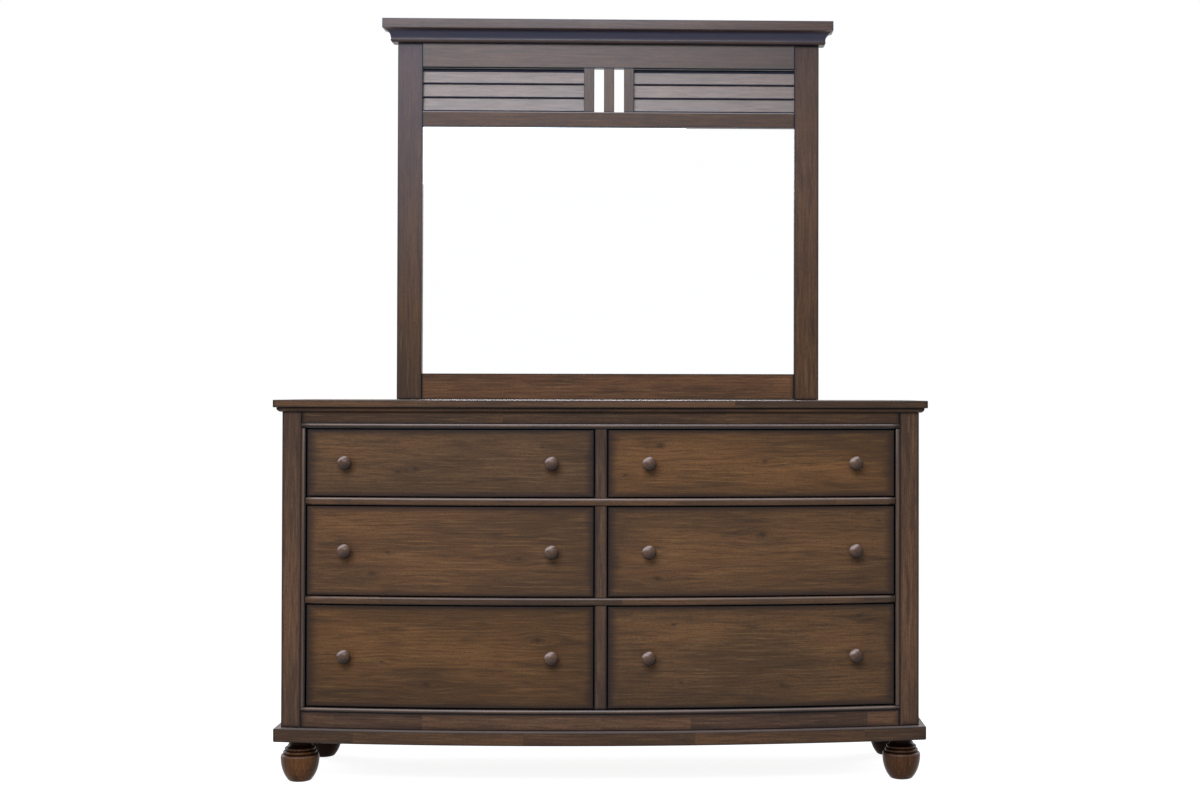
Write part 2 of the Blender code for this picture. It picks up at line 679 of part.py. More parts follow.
def make_top():
    """The thin bowed slab, its edges just eased."""
    half = TOP_WIDTH / 2
    outline = [*bow_line(0.0, -half, half), (half, BACK_Y), (-half, BACK_Y)]
    top = extruded("top_panel", [outline], "Z", TOP_UNDERSIDE_Z + GLUE_LINE, MIRROR_Z)
    ease(top, TOP_EASE, EASE_STEPS)
    finish(top, "dark stained wood")


def moulding_path(projection):
    """The run round the front and sides of the case, this far out from its faces, back to back."""
    inset = FACE_INSET - projection
    half = CASE_HALF + projection
    radius = BOW_RADIUS - inset
    face_radius = BOW_RADIUS - FACE_INSET
    angles = [a for a in BOW_ANGLES if abs(face_radius * math.sin(a)) < CASE_HALF]
    front = [(radius * math.sin(a), BOW_CENTRE_Y - radius * math.cos(a)) for a in angles]
    corner_y = bow_y(inset, half)
    return [(-half, BACK_Y), (-half, corner_y), *front, (half, corner_y), (half, BACK_Y)]


def make_top_moulding():
    """The quarter-round moulding under the top, mitred at the front corners."""
    inner = moulding_path(GLUE_LINE)[::-1]
    swell = (MOULDING_PROJECTION - MOULDING_LIP, MOULDING_HEIGHT)
    section = arc((MOULDING_LIP, TOP_UNDERSIDE_Z), swell, 270, 360, MOULDING_STEPS)
    rings = [[(x, y, height) for x, y in [*moulding_path(out), *inner]] for out, height in section]
    finish(lofted("top_moulding", rings), "dark stained wood")


def knob_profile():
    """From the tip down to the end of the peg: a low dome, a round rim, a waist and a base."""
    radius = KNOB_DIAMETER / 2
    neck = KNOB_NECK_DIAMETER / 2
    rim = KNOB_LENGTH - KNOB_DOME
    peg = KNOB_PEG_DIAMETER / 2
    return [
        *arc((0.0, rim), (radius, KNOB_DOME), 90, 0, KNOB_DOME_STEPS)[:-1],
        *arc((neck, rim), (radius - neck, KNOB_HEAD - KNOB_DOME), 0, -90, KNOB_CUP_STEPS),
        (neck, KNOB_BASE_THICKNESS),
        (KNOB_BASE_DIAMETER / 2, 0.0),
        (peg, 0.0),
        (peg, -KNOB_PEG_LENGTH),
        (0.0, -KNOB_PEG_LENGTH),
    ]


def drawer_knob(name, x, z, drawer_front):
    """A turned knob, square to the bowed face, with its peg in a hole drilled for it."""
    face = BOW_RADIUS - DRAWER_INSET
    turn = math.asin(x / face)
    out = face + GLUE_LINE
    place_on_face = (out * math.sin(turn), BOW_CENTRE_Y - out * math.cos(turn), z)
    knob = turned(name, knob_profile(), KNOB_STEPS)
    hole = cylinder(f"{name}_hole", KNOB_PEG_DIAMETER / 2 + GLUE_LINE, -KNOB_PEG_LENGTH - GLUE_LINE,
                    KNOB_BASE_THICKNESS, KNOB_STEPS)
    for item in (knob, hole):
        item.location = place_on_face
        item.rotation_euler = (math.radians(90), 0.0, turn)
    cut(drawer_front, hole)
    return finish(knob, "knob wood")


def drawer_box(name, side, low, high):
    """Sides, back and a raised bottom, glued up and open above and in front, where the face goes."""
    front = bow_line(DRAWER_BACK_INSET + GLUE_LINE, BOX_INNER, BOX_OUTER)
    back_y = INNER_BACK_Y - BOX_BACK_GAP
    outline = mirrored([*front, (BOX_OUTER, back_y), (BOX_INNER, back_y)], side)
    item = extruded(name, [outline], "Z", low + GLUE_LINE, high - BOX_TOP_GAP)
    x_low, x_high = sorted((side * (BOX_INNER + BOX_WALL), side * (BOX_OUTER - BOX_WALL)))
    ahead = BACK_Y - TOP_MIDDLE_DEPTH
    bottom_low = low + GLUE_LINE + BOX_BOTTOM_RISE
    bottom_high = bottom_low + BOX_BOTTOM_THICKNESS
    inside = box(f"{name}_inside", (x_low, ahead, bottom_high), (x_high, back_y - BOX_WALL, high), cutters)
    under = box(f"{name}_under", (x_low, ahead, low - BOX_BOTTOM_RISE),
                (x_high, back_y - BOX_WALL, bottom_low), cutters)
    cut(item, inside, under)
    return finish(item, "drawer lining")


def make_drawer(row_name, low, high, side_name, side):
    """One drawer: a bowed face, its box and two knobs, all carried by an empty on its slide."""
    name = f"{row_name}_{side_name}_drawer"
    x_low, x_high = sorted((side * FRONT_INNER, side * FRONT_OUTER))
    z_low = low + FRONT_GAP
    z_high = high - FRONT_GAP
    section = rectangle((DRAWER_INSET, z_low), (DRAWER_BACK_INSET, z_high))
    face = bowed(f"{name}_front", section, x_low, x_high)
    ease(face, FRONT_EASE)
    pieces = [finish(face, "dark stained wood"), drawer_box(f"{name}_box", side, low, high)]
    middle_z = (z_low + z_high) / 2
    for place_name, x in KNOB_PLACES:
        pieces.append(drawer_knob(f"{name}_{place_name}_knob", side * x, middle_z, face))

    middle_x = (x_low + x_high) / 2
    slide = place(f"{name}_slide", None)
    slide.location = (middle_x, bow_y(DRAWER_INSET, middle_x), middle_z)
    for piece in pieces:
        piece.parent = slide
        piece.matrix_parent_inverse = Matrix.Translation(slide.location).inverted()


def mirror_rail(name, low, high):
    """A rail between the stiles, with a tenon at each end."""
    half = GLASS_HALF - GLUE_LINE
    rail = box(name, (-half, MIRROR_FACE_Y, low), (half, BACK_Y, high))
    middle_y = MIRROR_FACE_Y + MIRROR_THICKNESS / 2
    reach_out = GLASS_HALF + TENON_LENGTH
    tenon_low = low + TENON_SHOULDER
    tenon_high = high - TENON_SHOULDER
    tenons = box(f"{name}_tenons", (-reach_out, middle_y - TENON_THICKNESS / 2, tenon_low),
                 (reach_out, middle_y + TENON_THICKNESS / 2, tenon_high), cutters)
    glue(rail, tenons)
    finish(rail, "dark stained wood")
    deep = reach_out + GLUE_LINE
    wide = TENON_THICKNESS / 2 + GLUE_LINE
    mortise = box(f"{name}_mortise", (-deep, middle_y - wide, tenon_low - GLUE_LINE),
                  (deep, middle_y + wide, tenon_high + GLUE_LINE), cutters)
    return rail, mortise


def make_mirror_frame():
    """Two stiles and three rails, mortised together and rabbeted behind for the glass."""
    half = GLASS_HALF + GLASS_RABBET
    rabbet = box("glass_rabbet", (-half, MIRROR_FACE_Y + GLASS_LIP, GLASS_LOW_Z - GLASS_RABBET),
                 (half, BACK_Y + GLASS_LIP, GLASS_HIGH_Z + GLASS_RABBET), cutters)
    bottom, bottom_mortise = mirror_rail("mirror_bottom_rail", MIRROR_Z + GLUE_LINE, GLASS_LOW_Z)
    middle, middle_mortise = mirror_rail("mirror_middle_rail", GLASS_HIGH_Z, LOUVRE_Z)
    top, top_mortise = mirror_rail("mirror_top_rail", MIRROR_TOP_RAIL_Z + GLUE_LINE, CORNICE_Z)
    cut(bottom, rabbet)
    cut(middle, rabbet)
    for side_name, side in SIDES:
        x_low, x_high = sorted((side * GLASS_HALF, side * MIRROR_HALF))
        stile = box(f"mirror_{side_name}_stile", (x_low, MIRROR_FACE_Y, MIRROR_Z + GLUE_LINE),
                    (x_high, BACK_Y, CORNICE_Z))
        cut(stile, rabbet, bottom_mortise, middle_mortise, top_mortise)
        finish(stile, "dark stained wood")


def make_glass():
    """The mirror plate in its rabbet, with a thin board behind it."""
    half = GLASS_HALF + GLASS_LAP
    low_z = GLASS_LOW_Z - GLASS_LAP
    high_z = GLASS_HIGH_Z + GLASS_LAP
    glass_y = MIRROR_FACE_Y + GLASS_LIP + GLUE_LINE
    glass_back_y = glass_y + GLASS_THICKNESS
    board_y = glass_back_y + GLUE_LINE
    board_back_y = board_y + BACKBOARD_THICKNESS
    finish(box("mirror_glass", (-half, glass_y, low_z), (half, glass_back_y, high_z)), "silvered glass")
    finish(box("mirror_backboard", (-half, board_y, low_z), (half, board_back_y, high_z)), "plywood")


def slat_outline(foot_z):
    """A slat's section in y and z: a thin board leaning back from its lower, forward edge."""
    tilt = math.radians(SLAT_TILT)
    lean = (math.sin(tilt) * SLAT_WIDTH, math.cos(tilt) * SLAT_WIDTH)
    thick = (math.cos(tilt) * SLAT_THICKNESS, math.sin(tilt) * SLAT_THICKNESS)
    y = MIRROR_FACE_Y + SLAT_SET_BACK
    front_low = (y, foot_z + thick[1])
    back_low = (y + thick[0], foot_z)
    return [front_low, back_low, (back_low[0] + lean[0], back_low[1] + lean[1]),
            (front_low[0] + lean[0], front_low[1] + lean[1])]


def make_louvres():
    """Three mullions above the glass, the outer two each carrying a set of louvre slats."""
    low = LOUVRE_Z + GLUE_LINE
    half = MULLION_WIDTH / 2
    finish(box("centre_mullion", (-half, MIRROR_FACE_Y, low), (half, BACK_Y, MIRROR_TOP_RAIL_Z)),
           "dark stained wood")
    inner = half + MULLION_GAP
    outer = inner + MULLION_WIDTH
    for side_name, side in SIDES:
        x_low, x_high = sorted((side * inner, side * outer))
        panel = box(f"{side_name}_louvre_panel", (x_low, MIRROR_FACE_Y, low),
                    (x_high, BACK_Y, MIRROR_TOP_RAIL_Z))
        slat_low, slat_high = sorted((side * (outer - SLAT_ROOT), side * (GLASS_HALF - GLUE_LINE)))
        for number in range(SLAT_COUNT):
            outline = slat_outline(LOUVRE_Z + SLAT_FOOT + number * SLAT_PITCH)
            slat = extruded(f"{side_name}_slat_{number + 1}", [outline], "X", slat_low, slat_high, cutters)
            glue(panel, slat)
        finish(panel, "dark stained wood")


def make_cornice():
    """The crown: a quarter round, a cove and a flat fascia, run round the front and both ends."""
    cove_low = CORNICE_Z + GLUE_LINE + CORNICE_ROUND_HEIGHT
    cove_high = cove_low + CORNICE_COVE_HEIGHT
    cove = (CORNICE_PROJECTION - CORNICE_COVE_START, CORNICE_COVE_HEIGHT)
    swell = (CORNICE_ROUND_DEPTH, CORNICE_ROUND_HEIGHT)
    section = [
        *arc((CORNICE_START, cove_low), swell, 270, 360, CORNICE_ROUND_STEPS),
        *arc((CORNICE_PROJECTION, cove_low), cove, 180, 90, CORNICE_COVE_STEPS),
        (CORNICE_PROJECTION, cove_high + CORNICE_FASCIA_HEIGHT),
    ]
    rings = []
    for out, height in section:
        half = MIRROR_HALF + out
        corners = rectangle((-half, MIRROR_FACE_Y - out), (half, BACK_Y))
        rings.append([(x, y, height) for x, y in corners])
    finish(lofted("cornice", rings), "dark stained wood")


def make_supports():
    """Two battens, screwed to the back of the case and to the mirror's stiles."""
    middle = MIRROR_HALF - STILE_WIDTH / 2
    for side_name, side in SIDES:
        x_low = side * middle - SUPPORT_WIDTH / 2
        low = (x_low, BACK_Y + GLUE_LINE, MIRROR_Z - SUPPORT_BELOW_TOP)
        high = (x_low + SUPPORT_WIDTH, BACK_Y + BACK_REACH, MIRROR_Z + SUPPORT_ABOVE_TOP)
        finish(box(f"{side_name}_mirror_support", low, high), "drawer lining")


make_plinth(make_feet())
make_posts()
make_rails()
make_side_panels()
make_back_panel()
make_case_bottom()
make_dust_frames()
make_partition()
make_top()
make_top_moulding()
for row_name, low, high in ROWS:
    for side_name, side in SIDES:
        make_drawer(row_name, low, high, side_name, side)
make_mirror_frame()
make_glass()
make_louvres()
make_cornice()
make_supports()
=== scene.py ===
"""A bow-front dresser with six drawers and a louvred mirror, finished piece by piece.

Metres, +Z up, the front faces -Y. Left and right are as seen from the front.
"""

import math
import random
from functools import partial

import bmesh
import bpy
import numpy as np
from mathutils import Matrix, Vector


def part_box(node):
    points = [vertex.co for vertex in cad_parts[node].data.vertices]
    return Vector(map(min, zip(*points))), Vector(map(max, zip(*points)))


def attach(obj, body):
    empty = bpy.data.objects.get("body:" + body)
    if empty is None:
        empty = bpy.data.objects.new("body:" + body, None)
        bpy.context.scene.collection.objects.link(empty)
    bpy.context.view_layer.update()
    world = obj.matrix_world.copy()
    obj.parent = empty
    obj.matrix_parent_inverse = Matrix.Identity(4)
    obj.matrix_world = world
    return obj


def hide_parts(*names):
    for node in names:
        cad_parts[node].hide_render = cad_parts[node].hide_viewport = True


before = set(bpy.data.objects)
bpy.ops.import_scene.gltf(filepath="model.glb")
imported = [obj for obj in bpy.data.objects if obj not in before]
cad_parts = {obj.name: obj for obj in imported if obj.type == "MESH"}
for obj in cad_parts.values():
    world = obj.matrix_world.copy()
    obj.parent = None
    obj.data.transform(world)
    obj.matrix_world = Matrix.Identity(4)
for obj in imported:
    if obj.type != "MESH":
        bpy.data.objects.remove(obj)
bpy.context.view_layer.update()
draw = random.Random(41)

# The bun feet. Each is turned from one upright block: a bowl that narrows to the sole, two rings
# above it and a hollow neck, with a dowel glued up into a corner of the plinth. Shade is painted
# into the grooves between the rings and into the neck, and a highlight onto the rim of the bowl.
FOOT_BOWL_RADIUS = 0.0475
FOOT_BOWL_HEIGHT = 0.0590
FOOT_BOWL_STEPS = 24
FOOT_SOLE_RADIUS = 0.0258
FOOT_SOLE_EASE = 0.003
FOOT_SOLE_STEPS = 4
FOOT_RIM_RADIUS = 0.0412
FOOT_RIM_HEIGHT = 0.0090
FOOT_RIM_STEPS = 10
FOOT_RING_RADII = (0.0417, 0.0378)
FOOT_RING_HEIGHT = 0.0085
FOOT_RING_ROUND = 0.005
FOOT_RING_STEPS = 12
FOOT_NECK_RADIUS = 0.0280
FOOT_NECK_HOLLOW = 0.0015
FOOT_TURNS = 96
FOOT_GROOVE_SHADE_REACH = 0.0035
FOOT_NECK_PAINTED_SHADE = 0.8
FOOT_BOWL_STOP = 2
FOOT_SOLE_START = -20
FOOT_PAINTED_LIGHT_REACH = 0.003
FOOT_HIGHLIGHT_HEIGHT = 0.0054
FOOT_RIM_PAINTED_HIGHLIGHT = 0.22
GLUE_LINE = 0.0003
SIDES = (("left", -1), ("right", 1))


def arc(centre, radii, start, end, steps):
    """Points on an ellipse from one angle to another, in degrees."""
    angles = [math.radians(start + (end - start) * step / steps) for step in range(steps + 1)]
    return [(centre[0] + radii[0] * math.cos(a), centre[1] + radii[1] * math.sin(a)) for a in angles]


def turn(profile, steps):
    """Turn a profile of (radius, height) points about its upright axis."""
    shape = bmesh.new()
    points = [shape.verts.new((radius, 0.0, height)) for radius, height in profile]
    edges = [shape.edges.new(pair) for pair in zip(points, points[1:])]
    bmesh.ops.spin(shape, geom=points + edges, cent=(0.0, 0.0, 0.0), axis=(0.0, 0.0, 1.0),
                   angle=math.tau, steps=steps)
    bmesh.ops.remove_doubles(shape, verts=shape.verts, dist=0.000001)
    bmesh.ops.recalc_face_normals(shape, faces=shape.faces)
    return shape


def mesh_of(name, shape):
    """Make a mesh of a shape, which is then put away."""
    mesh = bpy.data.meshes.new(name)
    shape.to_mesh(mesh)
    shape.free()
    return mesh


def points_of(mesh):
    """A mesh's points as rows of x, y and z."""
    points = np.zeros(len(mesh.vertices) * 3, np.float32)
    mesh.vertices.foreach_get("co", points)
    return points.reshape(-1, 3).astype(float)


def feed(socket, value):
    """Set an input to a plain value, or join it to what another node gives."""
    if isinstance(value, bpy.types.NodeSocket):
        socket.id_data.links.new(value, socket)
    else:
        socket.default_value = (*value, 1.0) if socket.type == "RGBA" else value


def fill(node, **sockets):
    """Feed a node's inputs by name."""
    for name, value in sockets.items():
        feed(node.inputs[name.replace("_", " ")], value)


def add(tree, kind, *values, settings=None, **sockets):
    """Add a shader node with its settings, and feed its inputs in their order or by name."""
    node = tree.nodes.new("ShaderNode" + kind)
    for setting, value in (settings or {}).items():
        setattr(node, setting, value)
    for socket, value in zip(node.inputs, values):
        feed(socket, value)
    fill(node, **sockets)
    return node


def work_out(kind, values, **settings):
    """Add a node that works on values, where those values come from."""
    tree = next(value.id_data for value in values if isinstance(value, bpy.types.NodeSocket))
    return add(tree, kind, *values, settings=settings).outputs


def calc(operation, *values, clamp=False):
    """A sum on numbers."""
    return work_out("Math", values, operation=operation, use_clamp=clamp)[0]


def plus(value, *others):
    """Numbers added up."""
    for other in others:
        value = calc("ADD", value, other)
    return value


def times(first, second, clamp=False):
    """One number times another."""
    return calc("MULTIPLY", first, second, clamp=clamp)


def move(operation, *values):
    """A sum on places."""
    outputs = work_out("VectorMath", values, operation=operation)
    return outputs["Value" if operation in ("DOT_PRODUCT", "LENGTH") else "Vector"]


def parts(place):
    """A place's X, Y and Z, each by itself."""
    return work_out("SeparateXYZ", [place])


def spread(value, low, high, to_low=0.0, to_high=1.0, smooth=False):
    """Stretch the part of a value between low and high over a new range."""
    return work_out("MapRange", [value, low, high, to_low, to_high],
                    interpolation_type="SMOOTHSTEP" if smooth else "LINEAR")["Result"]


def blend(amount, first, second):
    """Mix two colours."""
    node = add(amount.id_data, "Mix", amount, settings={"data_type": "RGBA"})
    feed(node.inputs[6], first)
    feed(node.inputs[7], second)
    return node.outputs[2]


def mottling(place, detail, roughness=0.5, scale=1.0, distortion=0.0):
    """Soft random light and dark."""
    return add(place.id_data, "TexNoise", Vector=place, Scale=scale, Detail=detail, Roughness=roughness,
               Distortion=distortion).outputs["Fac"]


def hump(away, stretch, steepness):
    """A round hump in the wood, 1 at its top."""
    wide = move("MULTIPLY", away, stretch)
    return calc("EXPONENT", times(move("DOT_PRODUCT", wide, wide), -steepness))


def new_material(name):
    """A new material, its node tree and its main shader."""
    material = bpy.data.materials.new(name)
    material.use_nodes = True
    return material, material.node_tree, material.node_tree.nodes["Principled BSDF"]


# Marks in the wood: how many to a metre along the grain and across it, detail and roughness.
MARKS = {"figure": (1.6, 6.5, 2.0, 0.5), "streaks": (4.0, 64.0, 5.0, 0.66), "cloud": (3.2, 12.0, 2.0, 0.5),
         "smudges": (6.5, 56.0, 4.0, 0.62), "glints": (8.0, 190.0, 3.0, 0.6),
         "fibres": (20.0, 420.0, 3.0, 0.62), "pores": (170.0, 330.0, 2.0, 0.5)}
RING_WIDTH = 0.008
RING_WANDER = 0.045
RING_SHARPNESS = 3.0
RING_BREAKS = (0.35, 0.65, 0.25, 1.0)
TONE_SHARES = (0.44, 0.26, 0.34)
BROWN_TO_WARM = (0.44, 0.62)
HEART_OFFSET = (0.006, 0.025, 0.018)
HEART_DEPTH = 0.03
GRAIN_DEPTH = 0.35
STAVE_STAGGER = 0.37
STAVE_JUMP = (7.0, 0.3, 0.0)
STAVE_CONTRAST = 0.20
GOLDEN_LIFT = (1.38, 1.56, 1.58)
KNOT_SWIRL = (0.15, 0.38)
KNOT_EYE = (0.62, 1.0)
KNOT_EYE_STEEPNESS = 2.4
KNOT_HALO = 0.12
KNOT_PULL = (0.0, -0.72, 0.0)
KNOT_DEPTH = 0.75
STAIN_AND_SHADE_DEPTH = 0.92
END_RUB_AND_SHADE = 0.6
RUB_UNEVENNESS = (0.3, 0.7, 0.6, 1.5)
EDGE_GAP_PAINTED_SHADE = (0.0008, 0.0028, 0.9, 0.0)
SHADE_DEPTH = 0.30
PAINTED_SHEEN_RANGE = (-0.25, 0.45)
FIBRE_RELIEF = -0.7
RING_RELIEF = -0.5
LOG_REACH = (8.0, 3.0, 3.0)


def stained_wood(name, colours, pale=(0.34, 0.30, 0.285), roughness=0.40, gloss=0.10, edge=0.0,
                 edge_depth=0.5, shade=0.0, painted_sheen=0.0, sheen_colour=(0.10, 0.10, 0.13), staves=None, knots=()):
    """Stained and lacquered wood, rubbed darker along every edge.

    The colours are the wood's brown, its warm parts, its dark grain and the stain laid thick, also used
    for painted shade. A board's mesh says where each point lies on it, along the grain, across it and
    through it, and how much shade (up to 1) or highlight in the pale colour (down to -1) is painted there.
    """
    brown, warm, dark, stain_and_shade_colour = colours
    material, tree, shader = new_material(name)
    place, half, log = [add(tree, "Attribute", settings={"attribute_name": layer}).outputs["Vector"]
                        for layer in ("board", "half", "log")]
    stain = add(tree, "Attribute", settings={"attribute_name": "stain"}).outputs["Fac"]

    # Knots push the grain aside and leave a dark eye.
    bent = place
    eyes = 0.0
    for along, across, size in knots:
        away = move("SUBTRACT", place, (along, across, 0.0))
        swirl = hump(away, (KNOT_SWIRL[0] / size, KNOT_SWIRL[1] / size, 0.0), 1.0)
        pull = move("MULTIPLY", away, KNOT_PULL)
        bent = move("ADD", bent, move("MULTIPLY", pull, swirl))
        eye = hump(away, (KNOT_EYE[0] / size, KNOT_EYE[1] / size, 0.0), KNOT_EYE_STEEPNESS)
        eyes = plus(eyes, eye, times(swirl, KNOT_HALO))

    # A board glued up from staves takes each stave from another place in the log.
    if staves:
        spot = parts(move("ADD", bent, log))
        row = calc("FLOOR", calc("DIVIDE", spot["Y"], staves[1]))
        count = plus(calc("DIVIDE", spot["X"], staves[0]), times(row, STAVE_STAGGER))
        cell = add(tree, "CombineXYZ", row, calc("FLOOR", count)).outputs["Vector"]
        stave = add(tree, "TexWhiteNoise", Vector=cell).outputs["Value"]
        bent = move("ADD", bent, move("MULTIPLY", STAVE_JUMP, stave))
    grain = move("ADD", bent, log)

    # Growth rings are rounds about the log's heart, which runs a little askew below the board.
    figure, streaks, cloud, smudges, glints, fibres, pores = [
        mottling(move("MULTIPLY", grain, (along, across, across)), detail, rough)
        for along, across, detail, rough in MARKS.values()]
    point = parts(bent)
    heart = parts(move("MULTIPLY", log, HEART_OFFSET))
    beside = plus(point["Y"], heart["Y"])
    askew = times(point["X"], heart["X"])
    below = plus(point["Z"], askew, calc("ABSOLUTE", heart["Z"]), HEART_DEPTH)
    radius = calc("SQRT", plus(times(beside, beside), times(below, below)))
    radius = plus(radius, times(figure, RING_WANDER))
    wave = calc("SINE", times(radius, math.tau / RING_WIDTH))
    rings = calc("POWER", spread(wave, -1.0, 1.0), RING_SHARPNESS)
    rings = times(rings, spread(streaks, *RING_BREAKS))

    tone = plus(*map(times, (figure, streaks, cloud), TONE_SHARES))
    if staves:
        tone = plus(tone, times(plus(stave, -0.5), STAVE_CONTRAST))
    colour = blend(spread(tone, *BROWN_TO_WARM), brown, warm)
    colour = blend(times(rings, GRAIN_DEPTH), colour, dark)
    golden = [part * lift for part, lift in zip(warm, GOLDEN_LIFT)]
    for marks, low, high, amount, tint in (
            (glints, 0.52, 0.72, 0.50, golden), (fibres, 0.48, 0.72, 0.60, dark),
            (pores, 0.45, 0.75, 0.40, dark), (smudges, 0.53, 0.74, 0.70, dark),
            (streaks, 0.55, 0.72, 0.60, dark)):
        colour = blend(spread(marks, low, high, 0.0, amount), colour, tint)
    if knots:
        colour = blend(times(eyes, KNOT_DEPTH, clamp=True), colour, dark)
    if edge:
        inside = parts(move("SUBTRACT", half, move("ABSOLUTE", place)))
        # The rubbed band reaches further in at a board's ends, partly as painted shade.
        from_end = times(inside["X"], END_RUB_AND_SHADE)
        nearest = calc("MINIMUM", from_end, inside["Y"])
        farther = calc("MAXIMUM", from_end, inside["Y"])
        margin = calc("MAXIMUM", nearest, calc("MINIMUM", farther, inside["Z"]))
        rubbed = calc("DIVIDE", margin, spread(cloud, *RUB_UNEVENNESS))
        rubbed = spread(rubbed, 0.0, edge, edge_depth, 0.0, smooth=True)
        colour = blend(rubbed, colour, stain_and_shade_colour)
        # A thin near-black line along every edge is painted shade in the gaps between parts.
        colour = blend(spread(margin, *EDGE_GAP_PAINTED_SHADE), colour, stain_and_shade_colour)
        if shade:
            colour = blend(spread(margin, 0.0, shade, SHADE_DEPTH, 0.0, smooth=True), colour, dark)
    # A paler, greyer painted sheen towards one end of the board.
    if painted_sheen:
        colour = blend(spread(point["X"], *PAINTED_SHEEN_RANGE, 0.0, painted_sheen), colour, sheen_colour)
    # Above 0 the layer paints shade in the stain colour; below 0 it paints a highlight in the pale colour.
    colour = blend(times(stain, STAIN_AND_SHADE_DEPTH, clamp=True), colour, stain_and_shade_colour)
    colour = blend(times(stain, -1.0, clamp=True), colour, pale)
    dull = spread(fibres, 0.3, 0.7, roughness - 0.05, roughness + 0.06)
    relief = plus(times(fibres, FIBRE_RELIEF), times(rings, RING_RELIEF))
    bump = add(tree, "Bump", Strength=0.22, Distance=0.0003, Height=relief).outputs["Normal"]
    fill(shader, Base_Color=colour, Roughness=dull, Specular_IOR_Level=gloss, Normal=bump)
    return material


GRAIN_AXES = {"x": (0, 2, 1), "y": (1, 0, 2), "z": (2, 0, 1), "x, lying flat": (0, 1, 2),
              "z, seen from the side": (2, 1, 0)}


def lay_grain(mesh, places, stain=None):
    """Write down where each point lies on its board, and which part of the log the board is from."""
    middle = (places.min(axis=0) + places.max(axis=0)) / 2
    half = (places.max(axis=0) - places.min(axis=0)) / 2
    log = [draw.uniform(-reach, reach) for reach in LOG_REACH]
    for name, values in (("board", places - middle), ("half", half), ("log", log)):
        layer = mesh.attributes.new(name, "FLOAT_VECTOR", "POINT")
        laid_out = np.broadcast_to(np.array(values, np.float32), places.shape)
        layer.data.foreach_set("vector", np.ascontiguousarray(laid_out).ravel())
    if stain is not None:
        layer = mesh.attributes.new("stain", "FLOAT", "POINT")
        layer.data.foreach_set("value", np.asarray(stain, np.float32))


def new_object(name, data):
    """Put a mesh, a lamp or a camera in the scene."""
    thing = bpy.data.objects.new(name, data)
    bpy.context.scene.collection.objects.link(thing)
    return thing


def settle(name, mesh, material, body, slot=None):
    """Put a finished mesh in the scene, on the body that it moves with."""
    mesh.shade_smooth()
    mesh.materials.append(material)
    piece = new_object(name, mesh)
    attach(piece, body)
    return piece


def turned_piece(name, profile, turns, stain, place, material, body, slot):
    """Turn a piece, paint its stain, shade and highlight on it, and set it in its place."""
    mesh = mesh_of(name, turn(profile, turns))
    points = points_of(mesh)
    lay_grain(mesh, points[:, GRAIN_AXES["z"]], stain(points))
    mesh.transform(place)
    return settle(name, mesh, material, body, slot)


def close_to(distance, reach):
    """1 at a line on a piece, and down to 0 at some distance from it."""
    return np.clip(1 - np.abs(distance) / reach, 0, 1)


foot_woods = {
    "front": stained_wood(
        "turned foot wood", ((0.082, 0.036, 0.016), (0.170, 0.071, 0.026), (0.020, 0.010, 0.007),
                             (0.005, 0.004, 0.005)), gloss=0.09, roughness=0.32),
    # The rear feet take a much darker copy of the foot wood, as painted shade.
    "rear": stained_wood(
        "rear foot wood in painted shade", ((0.025, 0.012, 0.007), (0.048, 0.021, 0.011), (0.010, 0.006, 0.004),
                           (0.004, 0.003, 0.003)), gloss=0.04)}
neck_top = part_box("plinth_frame")[0].z - GLUE_LINE
rim_top = FOOT_BOWL_HEIGHT + FOOT_RIM_HEIGHT
grooves = (rim_top, rim_top + FOOT_RING_HEIGHT, rim_top + 2 * FOOT_RING_HEIGHT, neck_top)
sole_angle = math.acos(FOOT_SOLE_RADIUS / FOOT_BOWL_RADIUS)
bowl_depth = FOOT_BOWL_HEIGHT / math.sin(sole_angle)
foot_profile = [(0.0, neck_top), (FOOT_NECK_RADIUS, neck_top),
                (FOOT_NECK_RADIUS - FOOT_NECK_HOLLOW, (grooves[2] + neck_top) / 2)]
for ring in (1, 0):
    ring_middle = (FOOT_RING_RADII[ring] - FOOT_RING_ROUND, (grooves[ring] + grooves[ring + 1]) / 2)
    foot_profile += arc(ring_middle, (FOOT_RING_ROUND, FOOT_RING_HEIGHT / 2), 90, -90, FOOT_RING_STEPS)
foot_profile += arc((FOOT_RIM_RADIUS, FOOT_BOWL_HEIGHT),
                    (FOOT_BOWL_RADIUS - FOOT_RIM_RADIUS, FOOT_RIM_HEIGHT), 90, 0, FOOT_RIM_STEPS)[:-1]
foot_profile += arc((0.0, FOOT_BOWL_HEIGHT), (FOOT_BOWL_RADIUS, bowl_depth), 0,
                    FOOT_BOWL_STOP - math.degrees(sole_angle), FOOT_BOWL_STEPS)
foot_profile += arc((FOOT_SOLE_RADIUS - FOOT_SOLE_EASE, FOOT_SOLE_EASE), (FOOT_SOLE_EASE, FOOT_SOLE_EASE),
                    FOOT_SOLE_START, -90, FOOT_SOLE_STEPS)
foot_profile += [(0.0, 0.0)]


def foot_stain(points):
    """Painted shade in the grooves and in the neck, and a painted highlight on the rim of the bowl."""
    height = points[:, 2]
    depth = np.min([np.abs(height - groove) for groove in grooves], axis=0)
    in_neck = np.clip((height - grooves[2]) / FOOT_PAINTED_LIGHT_REACH, 0, FOOT_NECK_PAINTED_SHADE)
    painted_highlight = close_to(height - FOOT_BOWL_HEIGHT - FOOT_HIGHLIGHT_HEIGHT, FOOT_PAINTED_LIGHT_REACH) * FOOT_RIM_PAINTED_HIGHLIGHT
    return np.maximum(close_to(depth, FOOT_GROOVE_SHADE_REACH), in_neck) - painted_highlight


